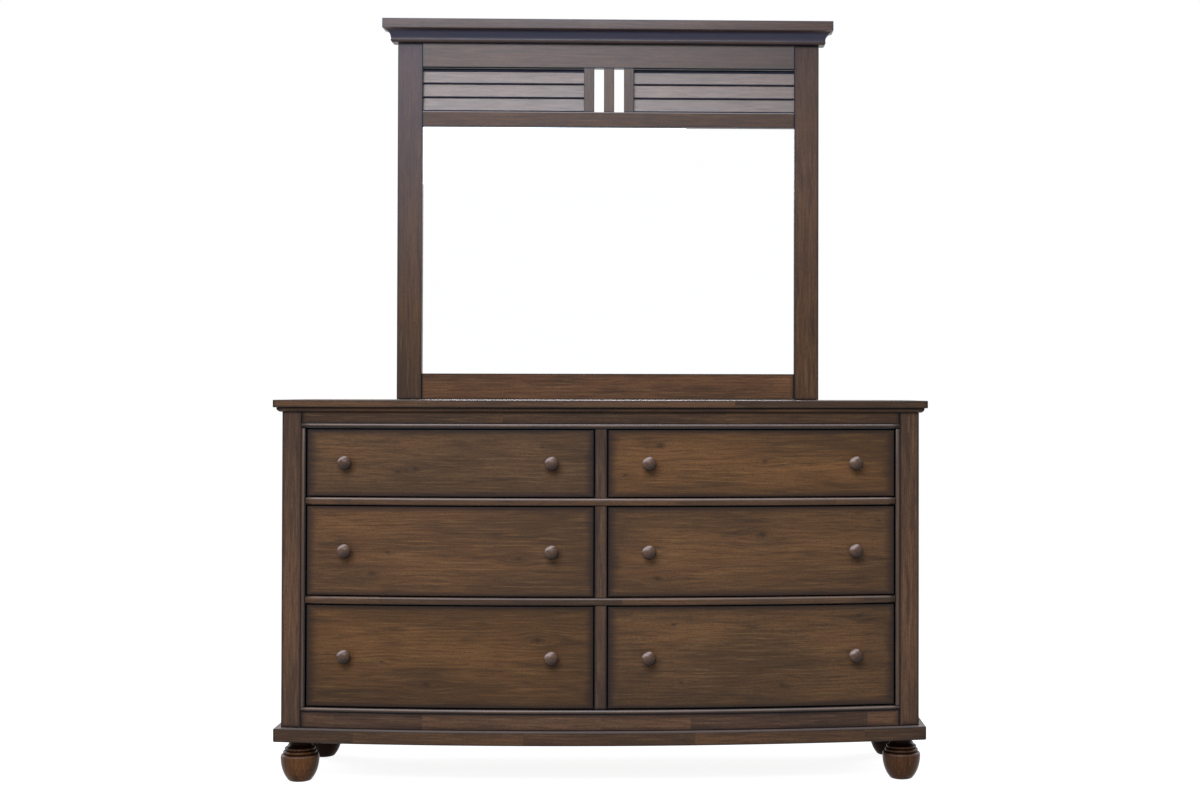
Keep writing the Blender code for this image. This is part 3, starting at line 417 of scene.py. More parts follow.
for end in ("front", "rear"):
    for side in ("left", "right"):
        low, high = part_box(f"{end}_{side}_foot")
        stand = Matrix.Translation(((low.x + high.x) / 2, (low.y + high.y) / 2, 0.0))
        foot = turned_piece(f"{end}_{side}_bun_foot", foot_profile, FOOT_TURNS, foot_stain, stand,
                            foot_woods[end], "root", "turned_foot_wood")
        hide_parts(f"{end}_{side}_foot")

# The plinth: a flat frame of four boards, wider than the case, whose front board is sawn to
# the bow. Its upper edge is rounded over. All that is bowed on this dresser follows one
# circle, through the top's front corners and the middle of its front edge.
BOW_RISE = 0.070
BOW_STATIONS = 64
PLINTH_MEMBER_WIDTH = 0.100
PLINTH_EASE = 0.003
EASE_SEGMENTS = 3
SHARP = math.radians(35)

top_low, top_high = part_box("top_panel")
BOW_RADIUS = ((top_high.x - top_low.x) ** 2 / 4 + BOW_RISE ** 2) / (2 * BOW_RISE)
BOW_CENTRE_Y = top_low.y + BOW_RADIUS


def bow_y(set_back, x):
    """The bow's y at x, this far behind the top's front edge."""
    return BOW_CENTRE_Y - math.sqrt((BOW_RADIUS - set_back) ** 2 - x ** 2)


def stations(x_low, x_high):
    """Places along the bow, close enough together to look round."""
    count = max(2, round(BOW_STATIONS * (x_high - x_low) / (top_high.x - top_low.x)))
    return [x_low + (x_high - x_low) * step / count for step in range(count + 1)]


def loft(rings):
    """Join rings of points, each to the next, and close both ends."""
    shape = bmesh.new()
    loops = [[shape.verts.new(point) for point in ring] for ring in rings]
    count = len(loops[0])
    for near, far in zip(loops, loops[1:]):
        for here in range(count):
            there = (here + 1) % count
            shape.faces.new((near[here], near[there], far[there], far[here]))
    shape.faces.new(loops[0])
    shape.faces.new(loops[-1])
    bmesh.ops.recalc_face_normals(shape, faces=shape.faces)
    return shape


def squared(front, back, low_z, high_z):
    """A squared section, as points of (set back, height)."""
    return [(front, low_z), (front, high_z), (back, high_z), (back, low_z)]


def along_bow(section, x_low, x_high):
    """Carry a section along the bow, with its ends sawn square."""
    return loft([[(x, bow_y(back, x), z) for back, z in section] for x in stations(x_low, x_high)])


def upright(outline, z_low, z_high, facing=1):
    """Stand an outline of (x, y) points up between two heights, on the right side or the left."""
    return loft([[(facing * x, y, z) for x, y in outline] for z in (z_low, z_high)])


def crosswise(outline, x_low, x_high):
    """Carry an outline of (y, z) points straight across."""
    return loft([[(x, y, z) for y, z in outline] for x in (x_low, x_high)])


def block(low, high):
    """A plain squared piece."""
    return upright([(low[0], low[1]), (high[0], low[1]), (high[0], high[1]), (low[0], high[1])],
                   low[2], high[2])


def ease(shape, width):
    """Take the sharpness off every hard edge."""
    hard = [edge for edge in shape.edges if edge.is_manifold and edge.calc_face_angle(0.0) > SHARP]
    bmesh.ops.bevel(shape, geom=hard, offset=width, segments=EASE_SEGMENTS, profile=0.5,
                    affect="EDGES", clamp_overlap=True)
    return shape


def board(name, shape, material, along="x", bowed=False, stain=None, body="root", slot="case_wood"):
    """Make a board of a shape, with its grain along one axis."""
    mesh = mesh_of(name, shape)
    points = points_of(mesh)
    if bowed:
        points[:, 1] -= [bow_y(0.0, x) for x in points[:, 0]]
    lay_grain(mesh, points[:, GRAIN_AXES[along]], None if stain is None else stain(points))
    piece = settle(name, mesh, material, body, slot)
    flat = piece.modifiers.new("flat faces stay flat", "WEIGHTED_NORMAL")
    flat.keep_sharp = True
    return piece


def stain_by_height(base, height, shares, amounts):
    """Painted shade and highlight that change with the height on a piece, given as shares of some height
    above a base.
    """
    return lambda points: np.interp((points[:, 2] - base) / height, shares, amounts)


CASE_BROWN = ((0.075, 0.0425, 0.0245), (0.156, 0.080, 0.039), (0.029, 0.020, 0.015), (0.006, 0.006, 0.008))
case_wood = stained_wood("case wood", CASE_BROWN, edge=0.008, edge_depth=0.6)
block_wood = stained_wood("case wood in glued blocks", CASE_BROWN, edge=0.006, gloss=0.13,
                          staves=(0.42, 0.095))
plinth_low, plinth_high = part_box("plinth_frame")
plinth_back = plinth_low.y - top_low.y
member_back = plinth_back + PLINTH_MEMBER_WIDTH
inner_x = plinth_high.x - PLINTH_MEMBER_WIDTH
rear_y = plinth_high.y - PLINTH_MEMBER_WIDTH
# A painted highlight lies on the plinth's ledge and on its rounded upper edge.
ledge_painted_highlight = stain_by_height(plinth_high.z, PLINTH_EASE, (-1.0, -0.5, 0.0), (0.0, -0.12, -0.48))
section = squared(plinth_back, member_back, plinth_low.z, plinth_high.z)
shape = along_bow(section, plinth_low.x, plinth_high.x)
plinth_front = board("plinth_front_member", ease(shape, PLINTH_EASE), block_wood, bowed=True,
                     stain=ledge_painted_highlight)
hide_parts("plinth_frame")
board("plinth_rear_member", ease(block((plinth_low.x, rear_y, plinth_low.z), plinth_high), PLINTH_EASE),
      case_wood)
for side, facing in SIDES:
    outline = [(x, bow_y(member_back, x) + GLUE_LINE) for x in stations(inner_x, plinth_high.x)]
    outline += [(plinth_high.x, rear_y - GLUE_LINE), (inner_x, rear_y - GLUE_LINE)]
    shape = upright(outline, plinth_low.z, plinth_high.z, facing)
    board(f"plinth_{side}_member", ease(shape, PLINTH_EASE), case_wood, along="y", stain=ledge_painted_highlight)

# The case: solid sides of glued boards, a plywood back screwed into their rabbets, a plywood
# bottom and four dust frames for the drawers to run on. Only the sides show with the drawers
# shut; the rest keeps its plain sanded wood.
SIDE_EASE = 0.0012
SCREW_RADIUS = 0.0035
SCREW_HEIGHT = 0.0009
SCREW_DOME_START = 70
SCREW_DOME_STEPS = 4
SCREW_TURNS = 20
SCREW_MARGIN = 0.010
BACK_SCREW_SPACING = 0.18
SANDED_GRAIN = (3.0, 120.0)
WIDE_MARK = 9


def from_middle(low, high):
    """How far a piece's two sides lie from the middle of the dresser, the nearer one first."""
    return sorted((abs(low.x), abs(high.x)))


def plain_wood(name, pale, tan, grain_along):
    """Bare sanded wood."""
    material, tree, shader = new_material(name)
    place = add(tree, "TexCoord").outputs["Object"]
    stretch = [SANDED_GRAIN[0] if axis == grain_along else SANDED_GRAIN[1] for axis in "xyz"]
    fine = mottling(move("MULTIPLY", place, stretch), detail=3.0, roughness=0.6)
    stretch = [marks / WIDE_MARK for marks in stretch]
    wide = mottling(move("MULTIPLY", place, stretch), detail=2.0, distortion=0.8)
    tone = plus(times(fine, 0.5), times(wide, 0.5))
    bump = add(tree, "Bump", Strength=0.15, Distance=0.0004, Height=fine).outputs["Normal"]
    fill(shader, Base_Color=blend(spread(tone, 0.36, 0.62), pale, tan),
         Roughness=spread(fine, 0.3, 0.7, 0.56, 0.68), Specular_IOR_Level=0.25, Normal=bump)
    return material


def keep_shape(material, *nodes):
    """Give a finish to pieces that keep the shape they have."""
    for node in nodes:
        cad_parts[node].data.materials.clear()
        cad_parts[node].data.materials.append(material)


def bright_metal(name, first, second, marks, dull):
    """Metal, or a silvered back, with a fine uneven shine."""
    material, tree, shader = new_material(name)
    speckle = mottling(add(tree, "TexCoord").outputs["Object"], **marks)
    fill(shader, Base_Color=blend(speckle, first, second), Roughness=spread(speckle, *dull), Metallic=1.0)
    return material


def turn_backwards(profile, turns, x, y, z):
    """Turn a small piece whose axis points out of the back."""
    shape = turn(profile, turns)
    facing_back = Matrix.Rotation(math.radians(-90), 4, "X")
    bmesh.ops.transform(shape, matrix=Matrix.Translation((x, y, z)) @ facing_back, verts=shape.verts)
    return shape


def screw_heads(name, places, y):
    """Low domed screw heads on a face that looks backwards, as one piece."""
    dome = arc((0.0, 0.0), (SCREW_RADIUS, SCREW_HEIGHT), SCREW_DOME_START, 0, SCREW_DOME_STEPS)
    profile = [(0.0, SCREW_HEIGHT), *dome, (SCREW_RADIUS, -SCREW_HEIGHT), (0.0, -SCREW_HEIGHT)]
    heads = bmesh.new()
    for x, z in places:
        head = mesh_of("screw head", turn_backwards(profile, SCREW_TURNS, x, y, z))
        heads.from_mesh(head)
        bpy.data.meshes.remove(head)
    settle(name, mesh_of(name, heads), steel, "root")


def screw_line(low, high):
    """Where the screws go along one edge of the back."""
    count = round((high - low) / BACK_SCREW_SPACING) + 1
    return np.linspace(low + SCREW_MARGIN, high - SCREW_MARGIN, count)


side_wood = stained_wood("side panel wood", CASE_BROWN, edge=0.012, staves=(4.0, 0.088))
steel = bright_metal("plated steel", (0.42, 0.42, 0.44), (0.60, 0.59, 0.57),
                     marks={"scale": 900.0, "detail": 2.0}, dull=(0.3, 0.7, 0.28, 0.42))
back_low, back_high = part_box("back_panel")
for side, facing in SIDES:
    low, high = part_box(f"{side}_side_panel")
    inner_x, outer_x = from_middle(low, high)
    front_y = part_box(f"{side}_front_post")[1].y + GLUE_LINE
    rabbet_x = back_high.x + GLUE_LINE
    rabbet_y = back_low.y - GLUE_LINE
    outline = [(outer_x, front_y), (inner_x, front_y), (inner_x, rabbet_y), (rabbet_x, rabbet_y),
               (rabbet_x, high.y), (outer_x, high.y)]
    panel = board(f"{side}_side_board", ease(upright(outline, low.z, high.z, facing), SIDE_EASE),
                  side_wood, along="z, seen from the side")
    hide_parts(f"{side}_side_panel")

PLYWOOD = ((0.30, 0.205, 0.115), (0.42, 0.30, 0.18))
keep_shape(plain_wood("plywood, grain upright", *PLYWOOD, "z"), "back_panel")
keep_shape(plain_wood("plywood, grain across", *PLYWOOD, "x"), "case_bottom")
keep_shape(plain_wood("dust frame pine", (0.36, 0.235, 0.125), (0.50, 0.345, 0.20), "y"),
           "lower_left_dust_frame", "lower_right_dust_frame", "upper_left_dust_frame",
           "upper_right_dust_frame")
screw_xs = screw_line(back_low.x, back_high.x)
screw_zs = screw_line(back_low.z, back_high.z)
back_places = [(x, z) for x in screw_xs for z in (screw_zs[0], screw_zs[-1])]
back_places += [(x, z) for z in screw_zs[1:-1] for x in (screw_xs[0], screw_xs[-1])]
screw_heads("back_panel_screws", back_places, back_high.y)

# The face frame. Two corner posts stand at the front with their grain upright, and four bowed
# rails run between them. A rounded bead frames the field of drawers: its two long strips run
# through from post to post and its two short ones stand between them.
FACE_SET_BACK = 0.0205
FACE_THICKNESS = 0.024
FACE_EASE = 0.0008
BEAD_WIDTH = 0.0115
BEAD_PROUD = 0.0025
BEAD_QUIRK = 0.001
BEAD_STEPS = 16
RAIL_NOSE = 0.0055
RAIL_NOSE_STEPS = 8


def standing_bead_stain(middle, inner):
    """Painted shade at both sides of a bead that stands upright, and more on its inner one."""
    def stain(points):
        out = (np.abs(points[:, 0]) - middle) / (BEAD_WIDTH / 2)
        return np.interp(np.where(out < 0, -inner * out, out), (0.0, 0.6, 0.85, 1.0), (-0.08, 0.0, 0.7, 1.0))
    return stain


POST_BROWN = ((0.088, 0.052, 0.034), (0.182, 0.097, 0.053), (0.035, 0.024, 0.020), (0.007, 0.006, 0.009))
post_wood = stained_wood("post wood", POST_BROWN, edge=0.009)
# The pale colour is the beads' painted highlight.
bead_wood = stained_wood("bead wood", CASE_BROWN, pale=(0.42, 0.375, 0.355), gloss=0.22, roughness=0.28)
rail_wood = stained_wood("rail wood", CASE_BROWN, edge=0.009, staves=(0.55, 0.4))
foot_rail_wood = stained_wood("bottom rail wood", POST_BROWN, edge=0.013, edge_depth=0.6, staves=(0.22, 0.4))
top_rail_low, top_rail_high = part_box("top_rail")
bottom_rail_low, bottom_rail_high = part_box("bottom_rail")
post_inner = top_rail_high.x + GLUE_LINE
opening_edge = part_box("upper_middle_rail")[1].x + GLUE_LINE
bead_x = (opening_edge + post_inner) / 2
face_back = FACE_SET_BACK + FACE_THICKNESS
# The left bead's inner side takes more painted shade than the right bead's.
for (side, facing), inner_stain in zip(SIDES, (2.0, 1.0)):
    low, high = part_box(f"{side}_front_post")
    outer_x = from_middle(low, high)[1]
    outline = [(x, bow_y(FACE_SET_BACK, x)) for x in stations(post_inner, outer_x)]
    outline += [(outer_x, high.y), (post_inner, high.y)]
    post = board(f"{side}_post", ease(upright(outline, low.z, high.z, facing), FACE_EASE), post_wood,
                 along="z", bowed=True)
    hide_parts(f"{side}_front_post")
    outline = arc((bead_x, bow_y(FACE_SET_BACK + BEAD_QUIRK, bead_x)),
                  (BEAD_WIDTH / 2, BEAD_QUIRK + BEAD_PROUD), 180, 360, BEAD_STEPS)
    outline += [(x, bow_y(face_back, x)) for x in (post_inner, opening_edge)]
    shape = upright(outline, bottom_rail_high.z + GLUE_LINE, top_rail_low.z - GLUE_LINE, facing)
    board(f"{side}_upright_bead", shape, bead_wood, along="z",
          stain=standing_bead_stain(bead_x, inner_stain))

# A lying bead has a painted highlight along its upper side and painted shade at its foot.
for name, wood, rail_z, bead_z, shares, painted_highlight in (
        ("top", rail_wood, (top_rail_low.z + BEAD_WIDTH, top_rail_high.z), top_rail_low.z,
         (-0.8, -0.35, 0.2, 0.5, 0.8, 1.0, 1.15, 1.2), 0.95),
        ("bottom", foot_rail_wood, (bottom_rail_low.z, bottom_rail_high.z - BEAD_WIDTH),
         bottom_rail_high.z - BEAD_WIDTH, (-1.22, -0.67, -0.27, -0.02, 0.2, 0.58, 0.73, 0.78), 0.47)):
    shape = along_bow(squared(FACE_SET_BACK, face_back, *rail_z), top_rail_low.x, top_rail_high.x)
    rail = board(f"{name}_rail_board", ease(shape, FACE_EASE), wood, bowed=True)
    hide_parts(f"{name}_rail")
    middle_z = bead_z + BEAD_WIDTH / 2
    nose = arc((FACE_SET_BACK + BEAD_QUIRK, middle_z), (BEAD_QUIRK + BEAD_PROUD, BEAD_WIDTH / 2),
               270, 90, BEAD_STEPS)
    section = [(face_back, bead_z), *nose, (face_back, bead_z + BEAD_WIDTH)]
    stain = stain_by_height(middle_z, BEAD_WIDTH / 2, shares,
                            (1.0, 1.0, 0.35, 0.0, -0.85 * painted_highlight, -painted_highlight, 0.0, 0.9))
    board(f"{name}_bead", along_bow(section, top_rail_low.x, top_rail_high.x), bead_wood, bowed=True,
          stain=stain)

# A round-nosed rail has a painted highlight along its upper edge and painted shade under its lower one.
nosed_wood = stained_wood("round-nosed rail wood", CASE_BROWN, gloss=0.16, roughness=0.30,
                          staves=(0.6, 0.4))
for node, painted_highlight in (("lower_middle_rail", 0.45), ("upper_middle_rail", 0.80)):
    low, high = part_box(node)
    corner = FACE_SET_BACK - BEAD_PROUD + RAIL_NOSE
    nose = (RAIL_NOSE, RAIL_NOSE)
    section = [(face_back, low.z), *arc((corner, low.z + RAIL_NOSE), nose, 270, 180, RAIL_NOSE_STEPS),
               *arc((corner, high.z - RAIL_NOSE), nose, 180, 90, RAIL_NOSE_STEPS), (face_back, high.z)]
    stain = stain_by_height(low.z, high.z - low.z, (0.0, 0.06, 0.14, 0.68, 0.75, 0.83, 0.91, 0.97, 1.0),
                            (1.0, 0.85, 0.15, 0.12, -0.2 * painted_highlight, -painted_highlight, -0.75 * painted_highlight, 0.1, 0.6))
    rail = board(f"{node}_board", along_bow(section, low.x, high.x), nosed_wood, bowed=True, stain=stain)
    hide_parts(node)

# The partition stands between the two stacks of drawers, with its grain upright. It is notched
# round the middle rails, which run in front of it, and its front edge lies just behind the beads.
DIVIDER_RECESS = 0.002

low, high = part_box("centre_partition")
front_y = bow_y(FACE_SET_BACK + DIVIDER_RECESS, 0.0)
behind_rail = bow_y(face_back, high.x) + GLUE_LINE
outline = [(high.y, low.z), (front_y, low.z)]
for node in ("lower_middle_rail", "upper_middle_rail"):
    rail_low, rail_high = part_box(node)
    outline += [(front_y, rail_low.z - GLUE_LINE), (behind_rail, rail_low.z - GLUE_LINE),
                (behind_rail, rail_high.z + GLUE_LINE), (front_y, rail_high.z + GLUE_LINE)]
outline += [(front_y, top_rail_low.z - GLUE_LINE), (behind_rail, top_rail_low.z - GLUE_LINE),
            (behind_rail, high.z), (high.y, high.z)]
partition_wood = stained_wood(
    "partition wood", ((0.078, 0.049, 0.034), (0.156, 0.090, 0.053), (0.034, 0.024, 0.020),
                       (0.007, 0.006, 0.009)), edge=0.007, edge_depth=0.6)
partition = board("partition_board", ease(crosswise(outline, low.x, high.x), FACE_EASE), partition_wood,
                  along="z")
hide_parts("centre_partition")

# The top: one thin bowed slab, glued up from long staves and just eased at its edges, with a
# quarter-round moulding glued under its front and both sides and mitred at the front corners.
TOP_EASE = 0.0015
TOP_PAINTED_HIGHLIGHT = 0.6
TOP_ROUNDING = 0.45 * TOP_EASE
MOULDING_PROJECTION = 0.0130
MOULDING_LIP = 0.002
MOULDING_STEPS = 12

# A painted highlight runs along the middle of the top's eased upper edge.
slab_painted_highlight = stain_by_height(top_high.z - TOP_ROUNDING, TOP_ROUNDING, (-1.0, 0.0, 1.0), (0.0, -TOP_PAINTED_HIGHLIGHT, 0.0))
rings = [[(x, bow_y(0.0, x), top_low.z), (x, bow_y(0.0, x), top_high.z), (x, top_high.y, top_high.z),
          (x, top_high.y, top_low.z)] for x in stations(top_low.x, top_high.x)]
slab = board("top_slab", ease(loft(rings), TOP_EASE), block_wood, along="x, lying flat", bowed=True,
             stain=slab_painted_highlight)
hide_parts("top_panel")

moulding_low, moulding_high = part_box("top_moulding")
moulding_height = moulding_high.z - moulding_low.z
moulding_wood = stained_wood("moulding wood", CASE_BROWN, roughness=0.36)
# Shade is painted under the top and along the moulding's foot.
moulding_stain = stain_by_height(moulding_low.z, moulding_height, (0.0, 0.12, 0.35, 0.55, 0.8, 1.0),
                                 (0.8, 0.3, -0.05, -0.05, 0.35, 0.9))
section = [(GLUE_LINE, moulding_high.z), (GLUE_LINE, moulding_low.z)]
section += arc((MOULDING_LIP, moulding_high.z), (MOULDING_PROJECTION - MOULDING_LIP, moulding_height),
               270, 360, MOULDING_STEPS)
case_half = moulding_high.x - MOULDING_PROJECTION
rings = []
for share in [x / top_high.x for x in stations(top_low.x, top_high.x)]:
    ring = [(share * (case_half + out), out, z) for out, z in section]
    rings.append([(x, bow_y(FACE_SET_BACK - out, x), z) for x, out, z in ring])
front_moulding = board("front_moulding", loft(rings), moulding_wood, bowed=True, stain=moulding_stain)
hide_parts("top_moulding")
for side, facing in SIDES:
    mitre = [(facing * (case_half + out), bow_y(FACE_SET_BACK - out, case_half + out), z)
             for out, z in section]
    end = [(x, moulding_high.y, z) for x, _, z in mitre]
    board(f"{side}_moulding", loft([mitre, end]), moulding_wood, along="y", stain=moulding_stain)

# The drawers. Each front is sawn to the bow from one board, with the knots and swirls of its
# own tree, and its edges are rubbed dark, with a thin line of painted shade along the gaps.
# Behind it are two sides, a back and a thin bottom in grooves, in pale bare wood. The two knobs
# are turned, and pegged square to the bowed face.
FRONT_SET_BACK = 0.0235
FRONT_THICKNESS = 0.020
FRONT_EASE = 0.0015
BOX_WALL = 0.012
BOX_EASE = 0.0015
BOX_BOTTOM_RISE = 0.010
BOX_BOTTOM_THICKNESS = 0.006
KNOB_RADIUS = 0.0175
KNOB_LENGTH = 0.032
KNOB_DOME = 0.011
KNOB_DOME_STEPS = 16
KNOB_HEAD = 0.021
KNOB_CUP_STEPS = 12
KNOB_NECK_RADIUS = 0.0075
KNOB_BASE_RADIUS = 0.0105
KNOB_BASE_THICKNESS = 0.004
KNOB_INSET = 0.101
KNOB_TURNS = 64
KNOB_HIGHLIGHT_SIDE = (-0.47, 0.88)
FRONT_BROWN = ((0.094, 0.052, 0.027), (0.193, 0.098, 0.043), (0.036, 0.024, 0.0165), (0.008, 0.0085, 0.013))

# Each front's tint, and its knots: how far along the board and across it, and how big.
FRONTS = {
    "bottom_left": ((1.11, 1.05, 0.94),
                    [(-0.055, -0.067, 0.009), (0.219, 0.043, 0.010), (-0.166, -0.013, 0.005)]),
    "bottom_right": ((1.07, 1.08, 1.07), [(-0.175, -0.062, 0.005), (-0.195, 0.080, 0.006),
                                          (0.074, -0.070, 0.009), (0.267, 0.097, 0.006)]),
    "middle_left": ((1.27, 1.22, 1.17),
                    [(-0.152, -0.002, 0.005), (-0.191, -0.055, 0.010), (0.172, -0.016, 0.006)]),
    "middle_right": ((1.11, 1.10, 1.08),
                     [(0.025, 0.042, 0.010), (-0.234, -0.065, 0.008), (0.316, 0.074, 0.005)]),
    "top_left": ((1.05, 1.08, 1.12),
                 [(-0.127, -0.021, 0.006), (-0.083, -0.014, 0.007), (0.230, 0.040, 0.004)]),
    "top_right": ((1.24, 1.17, 1.04),
                  [(0.030, 0.005, 0.006), (-0.227, 0.044, 0.009), (-0.313, -0.028, 0.004)]),
}

# The pale colour is the knobs' painted highlight.
knob_wood = stained_wood(
    "turned knob wood with painted light", ((0.118, 0.067, 0.043), (0.190, 0.112, 0.074), (0.050, 0.029, 0.021),
                         (0.008, 0.004, 0.003)), pale=(0.54, 0.45, 0.43), gloss=0.18, roughness=0.30)
BIRCH = ((0.40, 0.27, 0.15), (0.55, 0.40, 0.25))
birch_along = plain_wood("birch lining, sides", *BIRCH, "y")
birch_across = plain_wood("birch lining, backs", *BIRCH, "x")
drawer_ply = plain_wood("drawer bottom plywood", (0.44, 0.31, 0.18), (0.56, 0.42, 0.27), "x")
knob_rim = KNOB_LENGTH - KNOB_DOME
knob_cup = (KNOB_RADIUS - KNOB_NECK_RADIUS, KNOB_HEAD - KNOB_DOME)
knob_profile = arc((0.0, knob_rim), (KNOB_RADIUS, KNOB_DOME), 90, 0, KNOB_DOME_STEPS)[:-1]
knob_profile += arc((KNOB_NECK_RADIUS, knob_rim), knob_cup, 0, -90, KNOB_CUP_STEPS)
knob_profile += [(KNOB_NECK_RADIUS, KNOB_BASE_THICKNESS), (KNOB_BASE_RADIUS, 0.0), (0.0, 0.0)]
knob_ring = BOW_RADIUS - FRONT_SET_BACK + GLUE_LINE


def knob_stain(points):
    """Painted shade round a knob's waist and low on its dome, and a painted highlight on its upper left."""
    waist = close_to(points[:, 2] - KNOB_BASE_THICKNESS, KNOB_HEAD / 2)
    upper_left = points[:, :2] @ KNOB_HIGHLIGHT_SIDE / KNOB_RADIUS
    dome = np.interp(upper_left, (-1.0, -0.6, -0.1, 0.25, 0.5, 0.75, 0.9, 1.0),
                     (0.97, 0.87, 0.42, 0.10, -0.05, -0.70, -0.50, -0.10))
    return np.where(waist > 0, waist, dome)


for row in ("bottom", "middle", "top"):
    for side, facing in SIDES:
        drawer = f"{row}_{side}_drawer"
        low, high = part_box(f"{drawer}_front")
        tints, knots = FRONTS[f"{row}_{side}"]
        tinted = [[tone * tint for tone, tint in zip(colour, tints)] for colour in FRONT_BROWN]
        front_wood = stained_wood(f"{row} {side} drawer front wood", tinted, edge=0.017, edge_depth=0.80,
                                  shade=0.09, knots=knots)
        front_back = FRONT_SET_BACK + FRONT_THICKNESS
        shape = along_bow(squared(FRONT_SET_BACK, front_back, low.z, high.z), low.x, high.x)
        face = board(f"{drawer}_face", ease(shape, FRONT_EASE), front_wood, bowed=True, body=drawer,
                     slot="drawer_front_wood")
        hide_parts(f"{drawer}_front")

        box_low, box_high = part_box(f"{drawer}_box")
        behind = front_back + GLUE_LINE
        near_x, far_x = from_middle(box_low, box_high)
        lining_board = partial(board, body=drawer, slot="drawer_lining")
        for place, x0, x1 in (("inner", near_x, near_x + BOX_WALL), ("outer", far_x - BOX_WALL, far_x)):
            outline = [(x0, bow_y(behind, x0)), (x1, bow_y(behind, x1)), (x1, box_high.y), (x0, box_high.y)]
            shape = upright(outline, box_low.z, box_high.z, facing)
            wall = lining_board(f"{drawer}_{place}_side", ease(shape, BOX_EASE), birch_along, along="y")
            if place == "inner":
                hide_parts(f"{drawer}_box")
        x0, x1 = sorted((facing * (near_x + BOX_WALL), facing * (far_x - BOX_WALL)))
        bottom_z = box_low.z + BOX_BOTTOM_RISE
        back_y = box_high.y - BOX_WALL
        shape = block((x0, back_y, box_low.z), (x1, box_high.y, box_high.z))
        lining_board(f"{drawer}_back", ease(shape, BOX_EASE), birch_across)
        outline = [(x, bow_y(behind, x)) for x in stations(x0, x1)] + [(x1, back_y), (x0, back_y)]
        lining_board(f"{drawer}_bottom", upright(outline, bottom_z, bottom_z + BOX_BOTTOM_THICKNESS),
                     drawer_ply)

        for x in (low.x + KNOB_INSET, high.x - KNOB_INSET):
            swing = math.asin(x / (BOW_RADIUS - FRONT_SET_BACK))
            foot_of_knob = (knob_ring * math.sin(swing), BOW_CENTRE_Y - knob_ring * math.cos(swing),
                            (low.z + high.z) / 2)
            lean = Matrix.Rotation(swing, 4, "Z") @ Matrix.Rotation(math.radians(90), 4, "X")
            place = "inner" if abs(x) < (near_x + far_x) / 2 else "outer"
            knob = turned_piece(f"{drawer}_{place}_turned_knob", knob_profile, KNOB_TURNS, knob_stain,
                                Matrix.Translation(foot_of_knob) @ lean, knob_wood, drawer, "knob_wood")
            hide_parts(f"{drawer}_{place}_knob")

# The mirror's frame: two stiles and three rails, mortised together, their edges eased and their
# backs rabbeted for the plate. The stain lies greyer and glossier here than on the case. A paler,
# greyer sheen is painted up the stiles, and the rails carry painted highlights and painted shade.
FRAME_EASE = 0.0010
RABBET_GAP = 0.002
FRAME_BROWN = ((0.056, 0.027, 0.013), (0.104, 0.050, 0.024), (0.022, 0.013, 0.011), (0.005, 0.006, 0.012))


def cut_away(shape, *tools):
    """Saw other shapes out of a shape."""
    work = new_object("shape to be cut", mesh_of("shape to be cut", shape))
    spares = [work.data]
    for tool in tools:
        saw = new_object("saw", mesh_of("saw", tool))
        spares.append(saw.data)
        cutting = work.modifiers.new("cut", "BOOLEAN")
        cutting.operation = "DIFFERENCE"
        cutting.solver = "EXACT"
        cutting.object = saw
    cut = bpy.data.meshes.new_from_object(work.evaluated_get(bpy.context.evaluated_depsgraph_get()))
    shape = bmesh.new()
    shape.from_mesh(cut)
    # An object goes with its mesh.
    for mesh in (cut, *spares):
        bpy.data.meshes.remove(mesh)
    return shape


frame_wood = partial(stained_wood, colours=FRAME_BROWN, edge_depth=0.4, roughness=0.34)
frame_board = partial(board, slot="mirror_frame_wood")
# A paler, greyer sheen is painted up each stile, stronger on the left; the right has a darker sheen colour.
stile_woods = {
    "left": stained_wood("left mirror stile wood with stronger painted sheen", CASE_BROWN, edge=0.007, edge_depth=0.4, gloss=0.15,
                         roughness=0.34, painted_sheen=0.50),
    "right": stained_wood("right mirror stile wood with weaker painted sheen", CASE_BROWN, edge=0.007, edge_depth=0.4, gloss=0.12,
                          roughness=0.36, painted_sheen=0.33, sheen_colour=(0.042, 0.044, 0.062))}
middle_rail_wood = frame_wood("mirror middle rail wood", edge=0.004, gloss=0.25)
low_rail_wood = stained_wood(
    "mirror bottom rail wood", ((0.115, 0.060, 0.032), (0.235, 0.113, 0.052), (0.044, 0.028, 0.020),
                                (0.007, 0.006, 0.009)), edge=0.007, edge_depth=0.4, roughness=0.36)
top_rail_wood = frame_wood("mirror rail wood", edge=0.006, gloss=0.4)


def frame_rail_stain(painted_highlight, painted_shade_to_right):
    """Painted shade lies thick on a rail's lower edge, and a painted highlight may lie along its upper one.

    The painted shade may also deepen toward the rail's right end.
    """
    def stain(points):
        height = points[:, 2] - points[:, 2].min()
        upper = np.where(height > height.max() - 1.1 * FRAME_EASE, -painted_highlight, 0.0)
        along = (1 + points[:, 0] / points[:, 0].max()) / 2
        return np.where(height < 0.8 * FRAME_EASE, 1.0, upper + painted_shade_to_right * along ** 2)
    return stain


plate_low, plate_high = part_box("mirror_glass")
frame_back_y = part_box("mirror_left_stile")[1].y


def rabbet():
    """The room behind the frame's inner lip that the plate and its backboard lie in."""
    return block((plate_low.x - RABBET_GAP, plate_low.y - GLUE_LINE, plate_low.z - RABBET_GAP),
                 (plate_high.x + RABBET_GAP, frame_back_y + RABBET_GAP, plate_high.z + RABBET_GAP))


